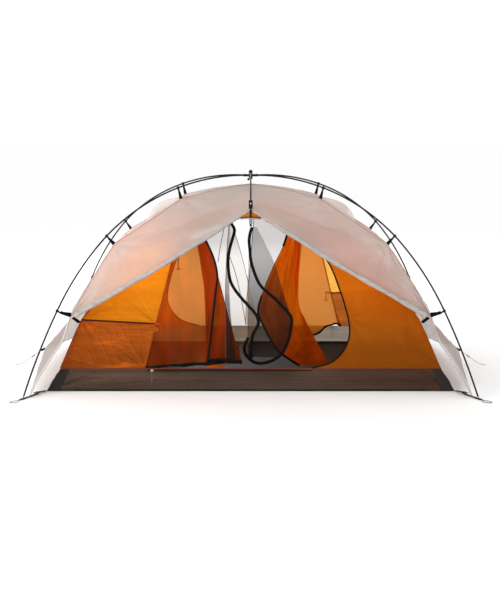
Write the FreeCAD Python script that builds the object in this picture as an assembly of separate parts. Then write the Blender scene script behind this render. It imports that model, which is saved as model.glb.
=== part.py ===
"""Two-person tent on poles: crossed arched poles and a ridge pole carry a fly on webbing clips,
and a lighter inner tent with a bathtub floor hangs inside it.

Millimetres, +Z up.  The origin is on the ground at the middle of the tent, X runs along the floor's
length and the front door faces -Y.  Poles and fly are mirrored in X and in Y; the inner tent's front
and rear walls are the same wall turned half a turn about Z.  Points written as (x, y, z) tuples
belong to the +X +Y quarter of the tent.  Cloth is drawn 1.2 mm thick."""
import FreeCAD, Part
import math
import os

from FreeCAD import Vector

os.makedirs("parts", exist_ok=True)

# ---------------------------------------------------------------- driving dimensions
FLOOR_LENGTH = 2210
FLOOR_DEPTH = 1300
TUB_HEIGHT = 120
TUB_TOP_X = 1032
TUB_TOP_Y = 620
WALL_LEAN = 0.342            # how far the front and rear walls lean in, per mm of height
CLOTH = 1.2
SEAM_GAP = 3.0               # clear space left between two sewn panels

POLE_R = 4.5
POLE_BORE = 3.8
INSERT_R = 3.6
INSERT_BORE = 2.3
INSERT_LENGTH = 70
SHOCK_R = 1.5
LEG_SECTIONS = 4
SOCKET_LENGTH = 46
SOCKET_R = 6.6
TIP_LENGTH = 26
SHANK_R = 2.6
SHANK_LENGTH = 14

HUB_Z = 1132
LEG = [(0, 0, HUB_Z), (250, 133, 1117), (575, 318, 995), (787, 453, 826),
       (968, 589, 575), (1118, 731, 244), (1194, 816, 18)]
RIDGE_Z = HUB_Z + 13
RIDGE = [(0, 0, RIDGE_Z), (0, 240, 1112), (0, 450, 1000)]

FLY_SEAM = [(40, 21, 1080), (210, 112, 1062), (392, 209, 1008), (591, 330, 880),
            (750, 430, 774), (880, 525, 600), (972, 600, 405)]
FLY_RIDGE_PEAK = (0, 455, 966)
FLY_EDGE = [FLY_RIDGE_PEAK, (486, 532, 684), (972, 604, 402)]
FLY_LEG = [(972, 600, 405), (1011, 650, 277), (1058, 700, 205), (1116, 760, 110), (1166, 806, 14)]
HEM_TAB = (1236, 0, 100)
CLIP_SEAM = [(394, 209, 1008), (750, 430, 776), (968, 597, 412)]
CLIP_POLE_X = [409, 787, 1036]
ROLL = [(14, 472, 962), (486, 552, 670), (950, 616, 408)]
ROLL_R = 13
POCKET_Z = 973               # the ridge pole's pocket, from its foot up
POCKET_LENGTH = 47

VENT_TOP_X = 396
VENT_LIP_X = 585
VENT_MESH_END_X = 600

WALL_CORNER = [(1032, 122), (930, 360), (882, 425), (812, 570), (640, 728), (420, 806), (200, 866)]
ROOF_EDGE = [(-390, 813), (-200, 868), (-64, 912), (64, 912), (200, 868), (390, 813)]
ROOF_RISE = 62
HINGE_FOOT = (577, 122)
HINGE_HEAD = (402, 806)
DOOR_TOP = [(-370, 806), (-108, 876), (60, 872)]
DOOR_CURVE = [(60, 872), (230, 812), (406, 706), (491, 524), (538, 346), (522, 243), (450, 160), (336, 122)]

SOLID_DOOR_EDGE = [(250, 380, 798), (165, 460, 500), (60, 560, 142)]
SOLID_DOOR_INSET = 10        # from the wall's hinge seam in to the panel
MESH_DOOR_EDGE = [(108, 362, 868), (118, 382, 740), (40, 415, 420), (0, 470, 150)]
MESH_DOOR_INSET = 28
DOOR_SPILL = [[(232, 352, 790), (300, 356, 778)], [(150, 300, 560), (290, 300, 560)],
              [(95, 220, 330), (290, 200, 330)], [(180, 60, 150), (350, 50, 150)],
              [(275, -95, 16), (400, -85, 16)]]
MESH_SAIL = [[(6, -352, 866), (34, -352, 866)], [(2, -385, 690), (124, -385, 690)],
             [(35, -400, 520), (186, -400, 520)], [(60, -420, 380), (222, -420, 380)],
             [(95, -440, 150), (150, -440, 150)]]

ZIP_Z = TUB_HEIGHT - 8
ZIP_Y = TUB_TOP_Y + 14
ZIP_START_X = -560
ZIP_LENGTH = 890
SLIDER_X = ZIP_START_X + 25
PIN_OUT = 8.5                # how far a slider's pull pin stands outside the chain
PULL_LENGTH = 62
TOGGLES = (("upper", 700, 58), ("lower", 352, 50))     # name, height, strap length
TOGGLE_ASIDE = 30            # from the hinge seam to the toggle's pivot, along the doorway
TOGGLE_OUT = 28              # from the wall out to the pivot

TAB_Z = 4
STAKE_CORD_R = 1.4
STAKE_LOOP = [(0, 0), (15, 6), (31, 10), (47, 10), (60, 4), (65, -7), (59, -18), (46, -24), (30, -23),
              (15, -18), (2, -10)]
STAKE_LOOP_START = (1212, 846, 2.2)
STAKE_LOOP_TURN = 50
GUY_R = 1.0
GUY_ROUTE = [(1252, 4, 92), (1283, 5, 70), (1325, 6, 40), (1362, 7, 14), (1388, 8, 3), (1412, 8, 2)]
GUY_ANCHOR = (1250, 4, 93)


# ---------------------------------------------------------------- geometry helpers
def vec(point, sx=1, sy=1):
    """A quarter-tent point moved to the quarter with signs sx, sy."""
    return Vector(point[0] * sx, point[1] * sy, point[2])


def smooth(points):
    """A smooth curve through the points."""
    curve = Part.BSplineCurve()
    curve.interpolate([Vector(*p) for p in points])
    return curve.toShape()


def spaced(points, count):
    """Evenly spaced points along the smooth curve through the given ones."""
    return smooth(points).discretize(Number=count)


def wall_y(z):
    """Depth of the leaning front and rear walls at height z."""
    return TUB_TOP_Y - (z - TUB_HEIGHT) * WALL_LEAN


def on_wall(x, z, inset=0.0):
    """A point on the rear wall; the front wall is the same turned half a turn."""
    return Vector(x, wall_y(z) - inset, z)


def turned(v):
    """Half a turn about Z."""
    return Vector(-v.x, -v.y, v.z)


def closed(vertices, facets):
    """A solid from triangles that share their corner points."""
    skin = Part.Shape()
    skin.makeShapeFromMesh(([tuple(v) for v in vertices], facets), 0.001, True)
    solid = Part.Solid(Part.Shell(skin.Faces))
    if solid.Volume < 0:
        solid.reverse()
    return solid


def cloth(rows, thickness=CLOTH):
    """A sheet of cloth: a grid of points thickened half each way along its normals."""
    high, wide = len(rows), len(rows[0])
    vertices = []
    for side in (0.5, -0.5):
        for i in range(high):
            for j in range(wide):
                down = rows[min(i + 1, high - 1)][j] - rows[max(i - 1, 0)][j]
                across = rows[i][min(j + 1, wide - 1)] - rows[i][max(j - 1, 0)]
                normal = down.cross(across).normalize()
                vertices.append(rows[i][j] + normal * (side * thickness))
    back = high * wide

    def at(i, j):
        return i * wide + j

    facets = []
    for i in range(high - 1):
        for j in range(wide - 1):
            a, b, c, d = at(i, j), at(i + 1, j), at(i + 1, j + 1), at(i, j + 1)
            facets += [(a, b, c), (a, c, d)]
            facets += [(back + a, back + c, back + b), (back + a, back + d, back + c)]
    border = [at(i, 0) for i in range(high)]
    border += [at(high - 1, j) for j in range(1, wide)]
    border += [at(i, wide - 1) for i in range(high - 2, -1, -1)]
    border += [at(0, j) for j in range(wide - 2, 0, -1)]
    for a, b in zip(border, border[1:] + border[:1]):
        facets += [(a, back + a, back + b), (a, back + b, b)]
    return closed(vertices, facets)


def ruled(left, right, columns, bulge=None, gap=SEAM_GAP):
    """Rows between two edges of a panel, held back by a seam gap at each end.  bulge gives each
    row's push at its middle."""
    rows = []
    for i, (a, b) in enumerate(zip(left, right)):
        along = (b - a).normalize()
        start, end = a + along * gap, b - along * gap
        push = bulge[i] if bulge else Vector(0, 0, 0)
        row = []
        for j in range(columns):
            w = j / (columns - 1)
            row.append(start + (end - start) * w + push * (4 * w * (1 - w)))
        rows.append(row)
    return rows


def arc_part(arc, start, end):
    """The stretch of an arc edge between two lengths along it."""
    first, last = arc.ParameterRange
    span = (last - first) / arc.Length
    return arc.Curve.toShape(first + span * start, first + span * end)


def tube(edge, outer, inner=0.0):
    """A round tube, or a rod, swept along a circular edge by turning its section."""
    first, last = edge.ParameterRange
    start = edge.valueAt(first)
    axis = edge.Curve.Axis
    tangent = edge.tangentAt(first)
    section = Part.Face(Part.Wire(Part.makeCircle(outer, start, tangent)))
    if inner:
        section = section.cut(Part.Face(Part.Wire(Part.makeCircle(inner, start, tangent))))
        section = section.Faces[0]
    radial = start - edge.Curve.Center
    turn_axis = axis * math.copysign(1, axis.cross(radial).dot(tangent))
    return section.revolve(edge.Curve.Center, turn_axis, math.degrees(last - first)).Solids[0]


def rod(start, end, radius):
    """A straight round rod."""
    way = end - start
    return Part.makeCylinder(radius, way.Length, start, way)


def frame_at(origin, along, up):
    """A placement whose X runs along one direction and whose Z is as near up as it can be."""
    x = Vector(along).normalize()
    y = Vector(up).cross(x).normalize()
    z = x.cross(y)
    return FreeCAD.Placement(FreeCAD.Matrix(x.x, y.x, z.x, origin.x, x.y, y.y, z.y, origin.y,
                                            x.z, y.z, z.z, origin.z, 0, 0, 0, 1))


def placed(shape, placement):
    """A copy of a shape moved from its own frame into the tent's."""
    moved = shape.copy()
    moved.Placement = placement.multiply(moved.Placement)
    return moved


def slab(length, width, height, x=0.0, z=0.0):
    """A flat block along X, centred on Y, from x and centred on height z."""
    return Part.makeBox(length, width, height, Vector(x, -width / 2, z - height / 2))


def band(start, end, width, up, thickness=1.4, end_width=None):
    """A flat strap between two points; it may taper."""
    end_width = end_width or width
    length = (end - start).Length
    outline = [Vector(0, -width / 2, -thickness / 2), Vector(0, width / 2, -thickness / 2),
               Vector(length, end_width / 2, -thickness / 2), Vector(length, -end_width / 2, -thickness / 2)]
    face = Part.Face(Part.makePolygon(outline + outline[:1]))
    return placed(face.extrude(Vector(0, 0, thickness)), frame_at(start, end - start, up))


def rounded_route(points, radius):
    """A cord's path: straight runs joined by tangent arcs.  Each arc is as large as 0.45 of its
    shorter run allows.  Returns the tube and its arc radii."""
    edges, radii = [], []
    last = points[0]
    for before, corner, after in zip(points, points[1:], points[2:]):
        way_in = (corner - before).normalize()
        way_out = (after - corner).normalize()
        turn = way_in.getAngle(way_out)
        run = min((corner - before).Length, (after - corner).Length)
        trim = 0.45 * run
        start, end = corner - way_in * trim, corner + way_out * trim
        bend = trim / math.tan(turn / 2)
        radii.append(bend)
        inward = (way_out - way_in).normalize()
        middle = corner + inward * (bend / math.cos(turn / 2) - bend)
        edges.append(Part.LineSegment(last, start).toShape())
        edges.append(Part.Arc(start, middle, end).toShape())
        last = end
    edges.append(Part.LineSegment(last, points[-1]).toShape())
    path = Part.Wire(edges)
    section = Part.Wire(Part.makeCircle(radius, points[0], points[1] - points[0]))
    return path.makePipeShell([section], True, True), radii, path.Length


# ---------------------------------------------------------------- output
NODES = {}


def add(node, *solids):
    """Puts solids into a named node."""
    NODES.setdefault(node, []).extend(solids)


def write_parts():
    """One STEP file for each node."""
    for node, solids in sorted(NODES.items()):
        for solid in solids:
            if not solid.isValid() or solid.Volume <= 0:
                print("bad solid in", node, solid.isValid(), solid.Volume)
        shape = solids[0] if len(solids) == 1 else Part.makeCompound(solids)
        shape.exportStep("parts/%s.step" % node)


QUARTERS = [("front_left", -1, -1), ("front_right", 1, -1), ("rear_left", -1, 1), ("rear_right", 1, 1)]


# ---------------------------------------------------------------- poles and hub
def section_arcs(points, sections):
    """Splits a smooth pole line into circular arcs of equal length."""
    marks = spaced(points, 2 * sections + 1)
    return [Part.Arc(marks[2 * i], marks[2 * i + 1], marks[2 * i + 2]).toShape() for i in range(sections)]


def pole_set(node, points, sections, start):
    """A pole of tube sections with inserts and a shock cord; the first section starts at the hub."""
    arcs = section_arcs(points, sections)
    for i, arc in enumerate(arcs):
        begin = start if i == 0 else 0.15
        end = arc.Length - 0.15
        add(node, tube(arc_part(arc, begin, end), POLE_R, POLE_BORE))
        cord_begin = begin + (4 if i == 0 else INSERT_LENGTH / 2 + 1)
        cord_end = end - (TIP_LENGTH if i == sections - 1 else INSERT_LENGTH / 2 + 1)
        add("shock_cords", tube(arc_part(arc, cord_begin, cord_end), SHOCK_R))
        if i:
            add("pole_inserts", tube(arc_part(arc, 0.5, INSERT_LENGTH / 2), INSERT_R, INSERT_BORE))
            before = arcs[i - 1]
            add("pole_inserts", tube(arc_part(before, before.Length - INSERT_LENGTH / 2, before.Length - 0.5),
                                     INSERT_R, INSERT_BORE))
    return arcs


def pole_tip(arc):
    """The turned tip that closes a pole's end: a plug inside the tube, a collar and a shank."""
    end = arc.Length
    plug = tube(arc_part(arc, end - TIP_LENGTH + 4, end), INSERT_R)
    point = arc.valueAt(arc.ParameterRange[1])
    way = arc.tangentAt(arc.ParameterRange[1])
    collar = Part.makeCylinder(POLE_R + 0.8, 3, point + way * 0.2, way)
    shank = Part.makeCylinder(SHANK_R, SHANK_LENGTH, point + way * 3, way)
    return plug.fuse([collar, shank])


def poles():
    """Four legs of the crossed poles, the ridge pole, and the hub that holds them."""
    first_arcs = []
    for name, sx, sy in QUARTERS:
        points = [(p[0] * sx, p[1] * sy, p[2]) for p in LEG]
        arcs = pole_set("pole_leg_" + name, points, LEG_SECTIONS, 16)
        first_arcs.append(arcs[0])
        add("pole_tips", pole_tip(arcs[-1]))
    for sy in (-1, 1):
        points = [(p[0], p[1] * sy, p[2]) for p in RIDGE]
        arcs = pole_set("ridge_pole", points, 1, 16)
        first_arcs.append(arcs[0])
        add("pole_tips", pole_tip(arcs[-1]))
    post = Part.makeCylinder(11, RIDGE_Z - HUB_Z + 34, Vector(0, 0, HUB_Z - 20))
    cap = Part.makeSphere(11, Vector(0, 0, RIDGE_Z + 9))
    hub = post.fuse(cap)
    for arc in first_arcs:
        hub = hub.fuse(tube(arc_part(arc, 2, SOCKET_LENGTH), SOCKET_R))
    for arc in first_arcs:
        hub = hub.cut(tube(arc_part(arc, 15.5, SOCKET_LENGTH + 2), POLE_R + 0.15))
    knob = Part.makeSphere(7, Vector(-13, 0, HUB_Z - 22))
    add("pole_hub", hub.fuse(knob).removeSplitter())


# ---------------------------------------------------------------- fly
def at_x(points, x):
    """The point of a polyline at a given x."""
    for a, b in zip(points, points[1:]):
        if a.x <= x <= b.x:
            return a + (b - a) * ((x - a.x) / (b.x - a.x))
    return points[-1] if x > points[-1].x else points[0]


def fly_canopies():
    """Four canopy panels, each between a pole seam and a rolled door edge."""
    seam = spaced([(3, 3, 1082)] + FLY_SEAM[1:], 8)
    edge = spaced([(3,) + FLY_RIDGE_PEAK[1:]] + FLY_EDGE[1:], 8)
    for name, sx, sy in QUARTERS:
        left = [vec(p, sx, sy) for p in seam[:-1]] + [vec(seam[-2] + (seam[-1] - seam[-2]) * 0.8, sx, sy)]
        right = [vec(p, sx, sy) for p in edge[:-1]] + [vec(edge[-2] + (edge[-1] - edge[-2]) * 0.8, sx, sy)]
        sag = [Vector(0, 0, -12 * math.sin(math.pi * i / 8)) for i in range(8)]
        add("fly_" + name, cloth(ruled(left, right, 4, sag, SEAM_GAP)))


def roll_of_door(sx, sy):
    """A vestibule door rolled up along the canopy's edge, tied at the corner."""
    return tube(Part.Arc(*[vec(p, sx, sy) for p in ROLL]).toShape(), ROLL_R)


def fly_ends():
    """Crowns beside the hub, end panels down to the hem, and vents under hoods between them."""
    dense = spaced(FLY_SEAM, 60)
    for side, sx in (("left", -1), ("right", 1)):
        crown = [at_x(dense, x) for x in (42, 150, 270, VENT_TOP_X - 5)]
        front, rear = [vec(p, sx, -1) for p in crown], [vec(p, sx, 1) for p in crown]
        rise = [Vector(0, 0, z) for z in (0, 4, 5, 3)]
        add("fly_crown", cloth(ruled(front, rear, 4, rise)))
        mesh = [at_x(dense, x) for x in (VENT_TOP_X, 500, VENT_MESH_END_X - 5)]
        front, rear = [vec(p, sx, -1) for p in mesh], [vec(p, sx, 1) for p in mesh]
        add("vent_mesh", cloth(ruled(front, rear, 3)))
        hood = [at_x(dense, x) + Vector(0, 0, 4) for x in (VENT_TOP_X + 4, 450, 510, 555, VENT_LIP_X)]
        front, rear = [vec(p, sx, -1) for p in hood], [vec(p, sx, 1) for p in hood]
        rise = [Vector(0, 0, z) for z in (2, 24, 50, 55, 44)]
        add("vent_hood_" + side, cloth(ruled(front, rear, 7, rise, 14)))
        line = [at_x(dense, x) for x in (VENT_MESH_END_X, 750, 880)] + [Vector(*p) for p in FLY_LEG]
        front, rear = [vec(p, sx, -1) for p in line], [vec(p, sx, 1) for p in line]
        push = [(0, 0), (4, 0), (26, 4), (54, 14), (60, 24), (60, 36), (60, 56), (HEM_TAB[0] - 1166, 86)]
        rise = [Vector(sx * x, 0, z) for x, z in push]
        add("fly_end_" + side, cloth(ruled(front, rear, 7, rise)))


def vent_strut(sx):
    """The batten that props a vent hood: a flat stay with an eye at its foot."""
    foot = Vector(568 * sx, 0, 905)
    head = Vector(556 * sx, 0, 944)
    axis = Vector(0, 1, 0)
    eye = Part.makeCylinder(3.5, 24, foot - axis * 12, axis)
    return band(foot, head, 18, Vector(sx, 0, 0.3), 2.0).fuse(eye)


def fly():
    """The whole fly with its rolled doors and vent struts."""
    fly_canopies()
    fly_ends()
    for name, sx, sy in QUARTERS:
        add("rolled_doors_" + name.split("_")[0], roll_of_door(sx, sy))
    add("vent_strut_left", vent_strut(-1))
    add("vent_strut_right", vent_strut(1))


# ---------------------------------------------------------------- clips
def clips():
    """Three hooks on each pole leg, each on a tapered strap sewn to the fly's seam."""
    for _, sx, sy in QUARTERS:
        leg = smooth([(p[0] * sx, p[1] * sy, p[2]) for p in LEG])
        points = leg.discretize(Number=400)
        for pole_x, seam in zip(CLIP_POLE_X, CLIP_SEAM):
            index = min(range(1, 399), key=lambda i: abs(abs(points[i].x) - pole_x))
            on_pole = points[index]
            way = (points[index + 1] - points[index - 1]).normalize()
            target = vec(seam, sx, sy)
            inward = target - on_pole
            inward = (inward - way * inward.dot(way)).normalize()
            ring = Part.makeCylinder(POLE_R + 3.4, 11, on_pole - way * 5.5, way)
            ring = ring.cut(Part.makeCylinder(POLE_R + 1.2, 13, on_pole - way * 6.5, way))
            mouth = placed(slab(16, 5.5, 13, 0), frame_at(on_pole, -inward, way))
            stem = placed(slab(12, 9, 5, POLE_R + 2.4), frame_at(on_pole, inward, way.cross(inward)))
            add("clip_hooks", ring.cut(mouth).fuse(stem).removeSplitter())
            strap_start = on_pole + inward * (POLE_R + 15)
            strap_end = target + (strap_start - target).normalize() * 3.5
            add("clip_straps", band(strap_start, strap_end, 11, inward.cross(way), 1.4, 22))


def ridge_buckles():
    """At each end of the ridge pole: the pocket its tip stands in, and a strap with a buckle."""
    up = Vector(0, 0, 1)
    for sy in (-1, 1):
        out = Vector(0, sy, 0)
        arc = section_arcs([(p[0], p[1] * sy, p[2]) for p in RIDGE], 1)[0]
        point, way = arc.valueAt(arc.ParameterRange[1]), arc.tangentAt(arc.ParameterRange[1])
        foot = Vector(0, FLY_RIDGE_PEAK[1] * sy, POCKET_Z) + out * 9
        pocket = placed(slab(POCKET_LENGTH, 22, 18), frame_at(foot, up, out))
        socket = Part.makeCylinder(POLE_R + 1.2, 45, point - way * 26, way)
        strap_top = foot + out * 4 - up * 2
        buckle = placed(slab(26, 17, 5), frame_at(strap_top + out * 3.6 - up * 76, up, out))
        add("ridge_buckles", pocket.cut(socket), band(strap_top, strap_top - up * 93, 12, out), buckle)


# ---------------------------------------------------------------- inner tent
def corner_line(points, count):
    """A wall's corner seam on the +X side, from the tub up."""
    return spaced([(x, wall_y(z), z) for x, z in points], count)


def both_walls(base, *rows_of_rear):
    """Adds a rear-wall panel and the same panel turned for the front wall."""
    rear_name, front_name = base
    for rows in rows_of_rear:
        add(rear_name, cloth(rows))
        add(front_name, cloth([[turned(p) for p in row] for row in rows]))


def hinge_line(count, inset=0.0):
    """The door's hinge seam on the rear wall, from the tub up."""
    foot, head = on_wall(*HINGE_FOOT, inset), on_wall(*HINGE_HEAD, inset)
    return [foot + (head - foot) * (i / (count - 1)) for i in range(count)]


def walls():
    """Front and rear walls beside the doorway and the strip above it."""
    corner = corner_line(WALL_CORNER[:-1], 7)
    hinge = hinge_line(7)
    both_walls(("rear_wall_right", "front_wall_left"), ruled(hinge, corner, 4))
    curve = spaced([(-x, wall_y(z), z) for x, z in DOOR_CURVE], 9)
    far = spaced([(-x, wall_y(z), z) for x, z in reversed(WALL_CORNER)], 9)
    both_walls(("rear_wall_left", "front_wall_right"), ruled(far, curve, 4))
    lower = spaced([(-x, wall_y(z), z) for x, z in DOOR_TOP], 4)
    upper = [on_wall(p.x, p.z + rise) for p, rise in zip(lower, (14, 22, 26, 24))]
    both_walls(("wall_tops", "wall_tops"), ruled(lower, upper, 2, None, 1.0))


def ends_and_roof():
    """End walls between the corner seams, and the roof over the doors."""
    corner = corner_line(WALL_CORNER, 7)[:6]
    for side, sx in (("left", -1), ("right", 1)):
        front, rear = [vec(p, sx, -1) for p in corner], [vec(p, sx, 1) for p in corner]
        push = [Vector(sx * x, 0, 0) for x in (6, 18, 24, 24, 16, 8)]
        add("end_wall_" + side, cloth(ruled(front, rear, 5, push, 6)))
    edge = [on_wall(x, z) for x, z in ROOF_EDGE]
    front, rear = [vec(p, 1, -1) for p in edge], edge
    rise = [Vector(0, 0, ROOF_RISE * r) for r in (0.7, 0.9, 1, 1, 0.9, 0.7)]
    add("inner_roof", cloth(ruled(front, rear, 5, rise, 5)))


def tub():
    """The flat floor and the low walls that turn up round it."""
    half_x, half_y = FLOOR_LENGTH / 2, FLOOR_DEPTH / 2
    add("floor", Part.makeBox(FLOOR_LENGTH, FLOOR_DEPTH, 2 * CLOTH, Vector(-half_x, -half_y, 0)))
    foot_z, top_z = 2 * CLOTH + 1, TUB_HEIGHT - 3
    for sy in (-1, 1):
        low = [Vector(-half_x + 4, half_y * sy, foot_z), Vector(half_x - 4, half_y * sy, foot_z)]
        high = [Vector(-TUB_TOP_X + 2, TUB_TOP_Y * sy, top_z), Vector(TUB_TOP_X - 2, TUB_TOP_Y * sy, top_z)]
        add("tub_walls", cloth(ruled([low[0], high[0]], [low[1], high[1]], 3)))
    for sx in (-1, 1):
        low = [Vector(half_x * sx, -half_y + 4, foot_z), Vector(half_x * sx, half_y - 4, foot_z)]
        high = [Vector(TUB_TOP_X * sx, -TUB_TOP_Y + 2, top_z), Vector(TUB_TOP_X * sx, TUB_TOP_Y - 2, top_z)]
        add("tub_walls", cloth(ruled([low[0], high[0]], [low[1], high[1]], 3)))


# ---------------------------------------------------------------- doors
def door_rows(free_edge, inset, rows=6, columns=4):
    """A rear door panel hanging from the hinge seam to its free edge, top row first."""
    hinge = list(reversed(hinge_line(rows, inset)))
    free = spaced(free_edge, rows)
    return ruled(hinge, free, columns, None, 0.0)


def hanging_panel(free_edge, inset, setback):
    """A door panel whose hinge edge stands back from the seam and whose foot clears the tub."""
    rows = door_rows(free_edge, inset)
    for row in rows:
        row[0] = row[0] - Vector(setback, 0, 0)
    rows[-1] = [p + Vector(0, 0, 10) for p in rows[-1]]
    return rows


def doors():
    """Two doors, each of a solid panel and a mesh panel; both hang unzipped at the hinge seam."""
    solid = hanging_panel(SOLID_DOOR_EDGE, SOLID_DOOR_INSET, 4)
    both_walls(("door_rear", "door_front"), solid)
    add("door_rear", cloth([[Vector(*p) for p in row] for row in DOOR_SPILL]))
    mesh = hanging_panel(MESH_DOOR_EDGE, MESH_DOOR_INSET, 12)
    both_walls(("mesh_door_rear", "mesh_door_front"), mesh)
    add("mesh_door_front", cloth([[Vector(*p) for p in row] for row in MESH_SAIL]))


def zips():
    """Each doorway's zip chain along the tub's top edge, and the coil up the doorway's curve."""
    for sy in (-1, 1):
        start = Vector(ZIP_START_X * -sy, ZIP_Y * sy, ZIP_Z)
        end = Vector((ZIP_START_X + ZIP_LENGTH) * -sy, ZIP_Y * sy, ZIP_Z)
        add("zip_chains", band(start, end, 5.0, Vector(0, sy, 0), 1.6))
        curve = [on_wall(-x, z, -4) for x, z in DOOR_CURVE[1:-1]]
        curve = [turned(p) if sy < 0 else p for p in curve]
        for a, b in zip(curve, curve[1:]):
            trim = (b - a).normalize() * 1.0
            add("zip_chains", band(a + trim, b - trim, 5.0, Vector(0, sy, 0.342), 1.6))


def zip_slider():
    """A slider round its chain, in its own frame: X up the wall, Y along the chain, Z outwards."""
    body = slab(9, 14, 6.4, -4.5).cut(slab(5.8, 16, 2.4, -2.9))
    lugs = [slab(4, 2.0, 8, -2, PIN_OUT - 2.4).translated(Vector(0, y, 0)) for y in (-3.4, 3.4)]
    pin = Part.makeCylinder(1.0, 6.8, Vector(0, -3.4, PIN_OUT), Vector(0, 1, 0))
    return body.fuse(lugs + [pin]).removeSplitter()


def zip_pull():
    """The pull that hangs from a slider's pin: an eye, a doubled cord and a moulded grip."""
    eye = Part.makeCylinder(2.2, 3.2, Vector(0, -1.6, PIN_OUT), Vector(0, 1, 0))
    tail = slab(PULL_LENGTH - 16, 2.6, 2.6, -PULL_LENGTH + 14, PIN_OUT)
    grip = slab(18, 5.0, 4.0, -PULL_LENGTH, PIN_OUT)
    bore = Part.makeCylinder(1.3, 5, Vector(0, -2.5, PIN_OUT), Vector(0, 1, 0))
    return eye.fuse([tail, grip]).cut(bore).removeSplitter()


def sliders():
    """A slider and its hanging pull at the start of each bottom zip."""
    for name, sy in (("front", -1), ("rear", 1)):
        place = Vector(SLIDER_X * -sy, ZIP_Y * sy, ZIP_Z)
        stance = frame_at(place, Vector(0, 0, 1), Vector(0, sy, 0))
        add("zip_slider_" + name, placed(zip_slider(), stance))
        add("zip_pull_" + name, placed(zip_pull(), stance))


def toggles():
    """Two tie-back toggles at each hinge seam: a tab with a peg, and a strap and bar that swing."""
    out = Vector(0, 1, 0)
    for level, z, length in TOGGLES:
        part_way = (z - HINGE_FOOT[1]) / (HINGE_HEAD[1] - HINGE_FOOT[1])
        x = HINGE_FOOT[0] + (HINGE_HEAD[0] - HINGE_FOOT[0]) * part_way
        pivot = Vector(x - TOGGLE_ASIDE, wall_y(z) + TOGGLE_OUT, z)
        tab = band(on_wall(x + 8, z, -4), pivot - out * 9, 12, Vector(0, 0.8, 0.2), 1.4)
        peg = Part.makeCylinder(1.4, 15, pivot - out * 9.5, out)
        head = Part.makeCylinder(3.2, 1.5, pivot + out * 4.5, out)
        eye = Part.makeCylinder(4.5, 3, pivot - out * 1.5, out)
        strap = Part.makeBox(6, 1.6, length, pivot + Vector(-3, -0.8, -length - 2))
        bar = Part.makeCylinder(2.6, 26, pivot + Vector(-13, 0, -length - 2), Vector(1, 0, 0))
        bore = Part.makeCylinder(1.75, 5, pivot - out * 2.5, out)
        fixed = tab.fuse([peg, head])
        swinging = eye.fuse([strap, bar]).cut(bore).removeSplitter()
        for name, half_turn in (("rear", 0), ("front", 180)):
            for node, shape in (("toggle_tabs", fixed), ("toggle_%s_%s" % (level, name), swinging)):
                add(node, shape.rotated(Vector(0, 0, 0), Vector(0, 0, 1), half_turn))


# ---------------------------------------------------------------- corners, feet and guys
def corner_sets():
    """At each corner: a strap from the floor to a ladderlock, a strap on to the foot, and the
    webbing tab whose hole takes the pole's shank."""
    up = Vector(0, 0, 1)
    for name, sx, sy in QUARTERS:
        floor_corner = Vector((FLOOR_LENGTH / 2 + 3) * sx, (FLOOR_DEPTH / 2 + 3) * sy, 5)
        last = section_arcs([(p[0] * sx, p[1] * sy, p[2]) for p in LEG], LEG_SECTIONS)[-1]
        end = last.ParameterRange[1]
        shank = last.valueAt(end) + last.tangentAt(end) * (3 + SHANK_LENGTH * 0.7)
        foot = Vector(shank.x, shank.y, TAB_Z)
        way = Vector(foot.x - floor_corner.x, foot.y - floor_corner.y, 0).normalize()
        side = up.cross(way)
        pivot = floor_corner + way * 62 + up * 6
        eye = Part.makeCylinder(3.4, 15, pivot - side * 7.5, side)
        eye = eye.cut(Part.makeCylinder(1.6, 17, pivot - side * 8.5, side))
        add("ground_webbing", band(floor_corner, pivot - way * 4.5, 19, up), eye)
        rail = slab(30, 3, 3, -1.5)
        frame = [placed(rail, frame_at(pivot + side * out, way, up)) for out in (-11.5, 11.5)]
        frame += [placed(slab(3, 23, 3, bar_x), frame_at(pivot, way, up)) for bar_x in (12, 27)]
        add("ladderlock_" + name, rod(pivot - side * 12, pivot + side * 12, 1.3).fuse(frame).removeSplitter())
        tab_start = foot - way * 16
        add("ground_webbing", band(pivot + way * 8 - up * 6.5, tab_start - way * 0.5, 15, up))
        tab = band(tab_start, foot + way * 24, 20, up, 1.6)
        add("ground_webbing", tab.cut(Part.makeCylinder(SHANK_R + 2.6, 10, foot - up * 5)))


def stake_loop_points(sx, sy):
    """A loop of thin cord that lies on the ground outside a pole foot, pointing away from the tent."""
    turn = math.radians(STAKE_LOOP_TURN)
    points = []
    for along, across in STAKE_LOOP:
        x = STAKE_LOOP_START[0] + along * math.cos(turn) + across * math.sin(turn)
        y = STAKE_LOOP_START[1] + along * math.sin(turn) - across * math.cos(turn)
        points.append(Vector(x * sx, y * sy, STAKE_LOOP_START[2]))
    return points


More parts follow.
